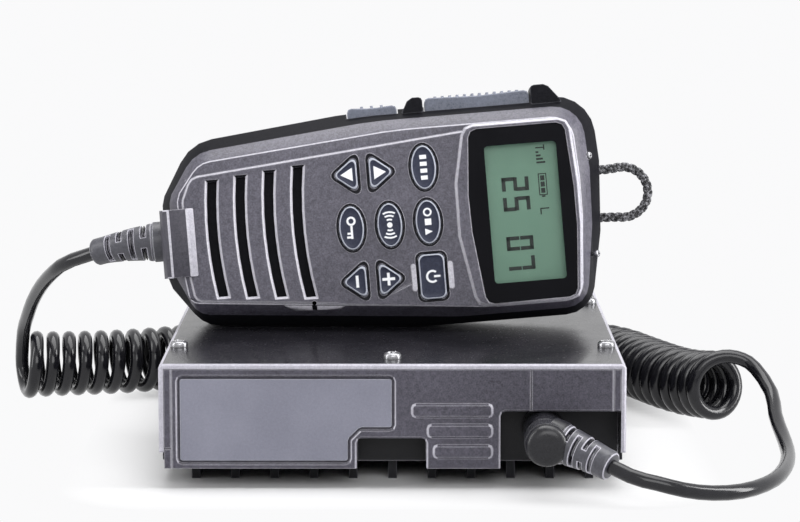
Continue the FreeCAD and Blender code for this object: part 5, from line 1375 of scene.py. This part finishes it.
def drawSign(bm, sign, centre, values):
    x, y = centre
    for kind, *sizes in sign:
        if kind == "plate":
            signPlate(bm, [(x + right, y + up) for right, up in sizes], values)
        elif kind == "bar":
            right, up, *halves = sizes
            signBar(bm, (x + right, y + up), *halves, values)
        else:
            right, up, *ring = sizes
            signArc(bm, (x + right, y + up), *ring, values)


def grow(bm, centre, size, growth):
    # widens a flat outline round its centre, and gives its new half sizes
    grown = [half + growth for half in size]
    bmesh.ops.scale(bm, vec=(grown[0] / size[0], grown[1] / size[1], 1.0), verts=bm.verts,
                    space=Matrix.Translation((-centre[0], -centre[1], 0.0)))
    return grown


def makeKeys(values, signs):
    for name in values["places"]:
        bm = bmesh.new()
        bottom, spread = values["levels"][0][:2]
        face, centre, size = keyShape(bm, values, name, bottom - values["foot"])
        size = grow(bm, centre, size, spread)
        stack(bm, face, centre, size, [(z, growth - spread, slot)
                                       for z, growth, slot in values["levels"]])
        bmesh.ops.recalc_face_normals(bm, faces=bm.faces)
        drawSign(bm, signs[name], centre, values)
        finishPiece("key" + name[4:].capitalize(), bm, name, ["keyPlastic", "paintedKeyRimHighlight", "paleInk"],
                    [name], sharp=55.0)

        bm = bmesh.new()    # the groove, open below and where the key comes through
        foot, spread = values["grooveFoot"], values["groove"][0][1]
        face, centre, size = keyShape(bm, values, name, foot)
        size = grow(bm, centre, size, spread)
        top = stack(bm, face, centre, size, [(z, growth - spread, slot)
                                             for z, growth, slot in values["groove"]])
        low = [face for face in bm.faces
               if all(abs(vert.co.z - foot) < values["level"] for vert in face.verts)]
        bmesh.ops.delete(bm, geom=low + [top], context="FACES_ONLY")
        finishPiece("groove" + name[4:].capitalize(), bm, "handset",
                    ["handsetPlastic", "paintedRecessShade"], sharp=30.0)


makeKeys(keyValues, keySigns)
print("keys made")


# what the display shows

displayValues = dict(
    bottom=-2.19,
    top=-2.14,
    digits="25 07",
    digitTop=12.0,          # where the first digit starts on the handset's Y
    digitLow=36.6,          # and the digits' foot on its X
    digitHeight=8.6,
    digitWidth=4.5,
    digitPitch=6.3,
    stroke=1.2,
    gap=0.12,
    iconFoot=48.2,          # the small signs stand on this X
    # each bar of the small signs: across on Y from and to, and its foot and top
    icons=[(19.6 - 1.1 * k, 19.0 - 1.1 * k, 0.0, 0.9 + 0.65 * k) for k in range(4)] + [
        (20.9, 20.5, 0.0, 2.9), (21.6, 19.9, 2.5, 2.9), (12.5, 5.5, 0.1, 0.4),
        (12.5, 5.5, 2.5, 2.8), (12.5, 12.2, 0.1, 2.8), (5.8, 5.5, 0.1, 2.8),
        (5.4, 4.9, 0.9, 2.0)] + [
        (11.8 - 2.0 * k, 10.2 - 2.0 * k, 0.8, 2.1) for k in range(3)] + [
        (1.5, 1.1, 0.0, 2.9), (1.5, -0.6, 0.0, 0.4)],
)
digitSegments = {"0": "abcdef", "1": "bc", "2": "abged", "3": "abgcd", "4": "fgbc",
                 "5": "afgcd", "6": "afgedc", "7": "abc", "8": "abcdefg", "9": "abcfgd"}


def makeDisplayMarks(values):
    bm = bmesh.new()

    def mark(left, right, low, high):
        # across the reading direction, which runs down the handset's Y
        corners = [(low, left), (low, right), (high, right), (high, left)]
        verts = [bm.verts.new((x, y, values["bottom"])) for x, y in corners]
        lifted = raiseFaces(bm, [bm.faces.new(verts)], True)[1]
        bmesh.ops.translate(bm, vec=(0, 0, values["top"] - values["bottom"]), verts=lifted)

    foot, height, width = values["digitLow"], values["digitHeight"], values["digitWidth"]
    stroke, gap = values["stroke"], values["gap"]
    for i, digit in enumerate(values["digits"]):
        left = values["digitTop"] - i * values["digitPitch"]
        right = left - width
        middle = foot + height / 2
        bars = dict(a=(left - gap, right + gap, foot + height - stroke, foot + height),
                    g=(left - gap, right + gap, middle - stroke / 2, middle + stroke / 2),
                    d=(left - gap, right + gap, foot, foot + stroke),
                    f=(left, left - stroke, middle + gap, foot + height - gap),
                    b=(right + stroke, right, middle + gap, foot + height - gap),
                    e=(left, left - stroke, foot + gap, middle - gap),
                    c=(right + stroke, right, foot + gap, middle - gap))
        for letter in digitSegments.get(digit, ""):
            mark(*bars[letter])
    for left, right, low, high in values["icons"]:
        mark(left, right, values["iconFoot"] + low, values["iconFoot"] + high)
    finishPiece("displayMarks", bm, "handset", ["darkSegment"], smooth=False)


makeDisplayMarks(displayValues)
print("display marks made")


# screws with cross recesses

screwValues = dict(
    cover=dict(radius=2.75, height=1.9, shank=1.45, length=8.0, recess=(1.75, 0.36, 1.0),
               body="unit", node="cover_screws",
               places=[((-66, -44, 38), 20), ((66, -44, 38), 65), ((-66, 44, 38), 5),
                       ((66, 44, 38), 50), ((0, -65, 38), 38), ((0, 65, 38), 75)],
               direction=(0, 0, 1)),
    back=dict(radius=2.0, height=1.5, shank=1.0, length=20.0, recess=(1.25, 0.28, 0.8),
              body="handset", node="handset_screws",
              places=[((-61.5, 18.5, -29), 10), ((-61.5, -14.5, -29), 55), ((56, 26.8, -29), 70),
                      ((56, -26, -29), 30)],
              direction=(0, 0, -1)),
    end=dict(radius=1.15, height=1.1, shank=0.65, length=3.2, recess=(0.75, 0.18, 0.5),
             body="handset", node="head_end_screws",
             places=[((64.96, 17.0, -5.73), 15), ((64.96, -14.5, -5.73), 60)],
             direction=(0.825, 0, 0.565)),
)
headValues = dict(
    # shares of the head's height and radius, from its edge to its flat top
    shape=[(0.45, 1.0), (0.72, 0.95), (0.90, 0.84), (1.0, 0.68)],
    foot=0.001,             # mm, the head's underside above the shank's end
    flat=0.001,
    cut=0.0001,
    narrowing=0.8,          # the cross is this much narrower at its floor
)


def crossHead(values, head):
    # a pan head on its shank; the cross is pressed into its flat top, with its floor in painted
    # shade
    bm = bmesh.new()
    radius, height, shank = values["radius"], values["height"], values["shank"]
    face = ovalFace(bm, 0, 0, shank, shank, -values["length"], 24)
    levels = [(0.0, 0.0, 0), (head["foot"], radius - shank, 0)]
    levels += [(height * up, radius * out - shank, 0) for up, out in head["shape"]]
    top = stack(bm, face, (0, 0), (shank, shank), levels)
    reach, half, depth = values["recess"]
    cut = [top] + list(top.edges) + list(top.verts)
    for axis in ((1, 0, 0), (0, 1, 0)):
        for away in (-reach, -half, half, reach):
            made = bmesh.ops.bisect_plane(bm, geom=cut, plane_co=Vector(axis) * away,
                                          plane_no=axis, dist=head["cut"])
            cut = [part for part in set(cut + made["geom"]) if part.is_valid]
    region = []
    for part in bm.faces:
        middle = part.calc_center_median()
        flat = middle.z > height - head["flat"]
        x, y = abs(middle.x), abs(middle.y)
        if flat and ((x < reach and y < half) or (y < reach and x < half)):
            region.append(part)
    floor, sunk = raiseFaces(bm, region)
    bmesh.ops.translate(bm, vec=(0, 0, -depth), verts=sunk)
    bmesh.ops.scale(bm, vec=(head["narrowing"], head["narrowing"], 1.0), verts=sunk)
    # the cross's floor gets painted shade
    for part in floor:
        part.material_index = 1
    return bm


def makeScrews(name, values):
    whole = bmesh.new()
    mesh = bpy.data.meshes.new("screw")
    for place, turn in values["places"]:
        bm = crossHead(values, headValues)
        bmesh.ops.transform(bm, matrix=standing(place, values["direction"], turn), verts=bm.verts)
        bm.to_mesh(mesh)
        bm.free()
        whole.from_mesh(mesh)
    bpy.data.meshes.remove(mesh)
    finishPiece(name + "Screws", whole, values["body"], ["screwSteel", "paintedRecessShade"],
                [values["node"]], sharp=35.0)


for name, values in screwValues.items():
    makeScrews(name, values)
print("screws made")


# floor, backdrop and lamps

studioValues = dict(
    floorSize=8.0,
    floorColour=(0.70, 0.70, 0.705),
    floorRoughness=0.9,
    floorSpecular=0.1,
    worldStrength=0.40,
    backdrop=(0.955, 0.955, 0.962),
    footprint=(0.070, 0.074),   # metres, half the unit's width and depth
    fadeEnd=0.030,              # metres from there to where the floor is all backdrop
)


def seenRays(tree):
    # 1 where the camera looks at it, straight or in a reflection
    path = tree.nodes.new("ShaderNodeLightPath")
    mirrored = mathNode(tree, "MAXIMUM", path.outputs["Is Glossy Ray"],
                        path.outputs["Is Transmission Ray"])
    return mathNode(tree, "MAXIMUM", path.outputs["Is Camera Ray"], mirrored)


def makeStudio(values):
    # the floor is lit by the lamps, and fades to the backdrop's even tone beside the unit
    bm = bmesh.new()
    bmesh.ops.create_grid(bm, x_segments=1, y_segments=1, size=values["floorSize"] / 2)
    floor = addObject("floor", meshFrom(bm, "floor"))
    material = bpy.data.materials.new("paleFloor")
    material.use_nodes = True
    tree = material.node_tree
    shader = tree.nodes["Principled BSDF"]
    shader.inputs["Roughness"].default_value = values["floorRoughness"]
    shader.inputs["Specular IOR Level"].default_value = values["floorSpecular"]
    shader.inputs["Base Color"].default_value = (*values["floorColour"], 1.0)
    backdrop = tree.nodes.new("ShaderNodeEmission")
    backdrop.inputs["Color"].default_value = (*values["backdrop"], 1.0)
    split = tree.nodes.new("ShaderNodeSeparateXYZ")
    place = tree.nodes.new("ShaderNodeTexCoord").outputs["Object"]
    tree.links.new(place, split.inputs[0])
    distance = boxDistance(tree, split.outputs[:2], values["footprint"])
    far = rangeNode(tree, distance, 0.0, values["fadeEnd"])
    mix = tree.nodes.new("ShaderNodeMixShader")
    tree.links.new(mathNode(tree, "MULTIPLY", far, seenRays(tree)), mix.inputs[0])
    tree.links.new(shader.outputs[0], mix.inputs[1])
    tree.links.new(backdrop.outputs[0], mix.inputs[2])
    tree.links.new(mix.outputs[0], tree.nodes["Material Output"].inputs["Surface"])
    floor.data.materials.append(material)

    world = bpy.data.worlds.new("studio")
    scene.world = world
    world.use_nodes = True
    tree = world.node_tree
    background = tree.nodes["Background"]
    strength = rangeNode(tree, seenRays(tree), 0.0, 1.0, values["worldStrength"], 1.0)
    tree.links.new(strength, background.inputs["Strength"])
    background.inputs["Color"].default_value = (*values["backdrop"], 1.0)


makeStudio(studioValues)

lampValues = [
    dict(name="topSoftbox", place=(0.1, 0.15, 1.1), aim=(0, 0, 0.05), size=(1.3, 0.8),
         power=13.5),
    dict(name="frontFill", place=(0.25, -1.3, 0.75), aim=(0, 0, 0.05), size=(1.2, 0.7),
         power=9.0),
    dict(name="leftStrip", place=(-0.9, -0.2, 0.45), aim=(0, 0, 0.06), size=(0.25, 0.9),
         power=4.0),
    dict(name="rightStrip", place=(0.85, -0.1, 0.35), aim=(0, 0, 0.06), size=(0.25, 0.9),
         power=8.0),
]
for values in lampValues:
    data = bpy.data.lights.new(values["name"], "AREA")
    data.shape = "RECTANGLE"
    data.size, data.size_y = values["size"]
    data.energy = values["power"]
    lamp = bpy.data.objects.new(values["name"], data)
    lamp.location = values["place"]
    direction = Vector(values["aim"]) - Vector(values["place"])
    lamp.rotation_euler = direction.to_track_quat("-Z", "Y").to_euler()
    scene.collection.objects.link(lamp)
print("studio lit")
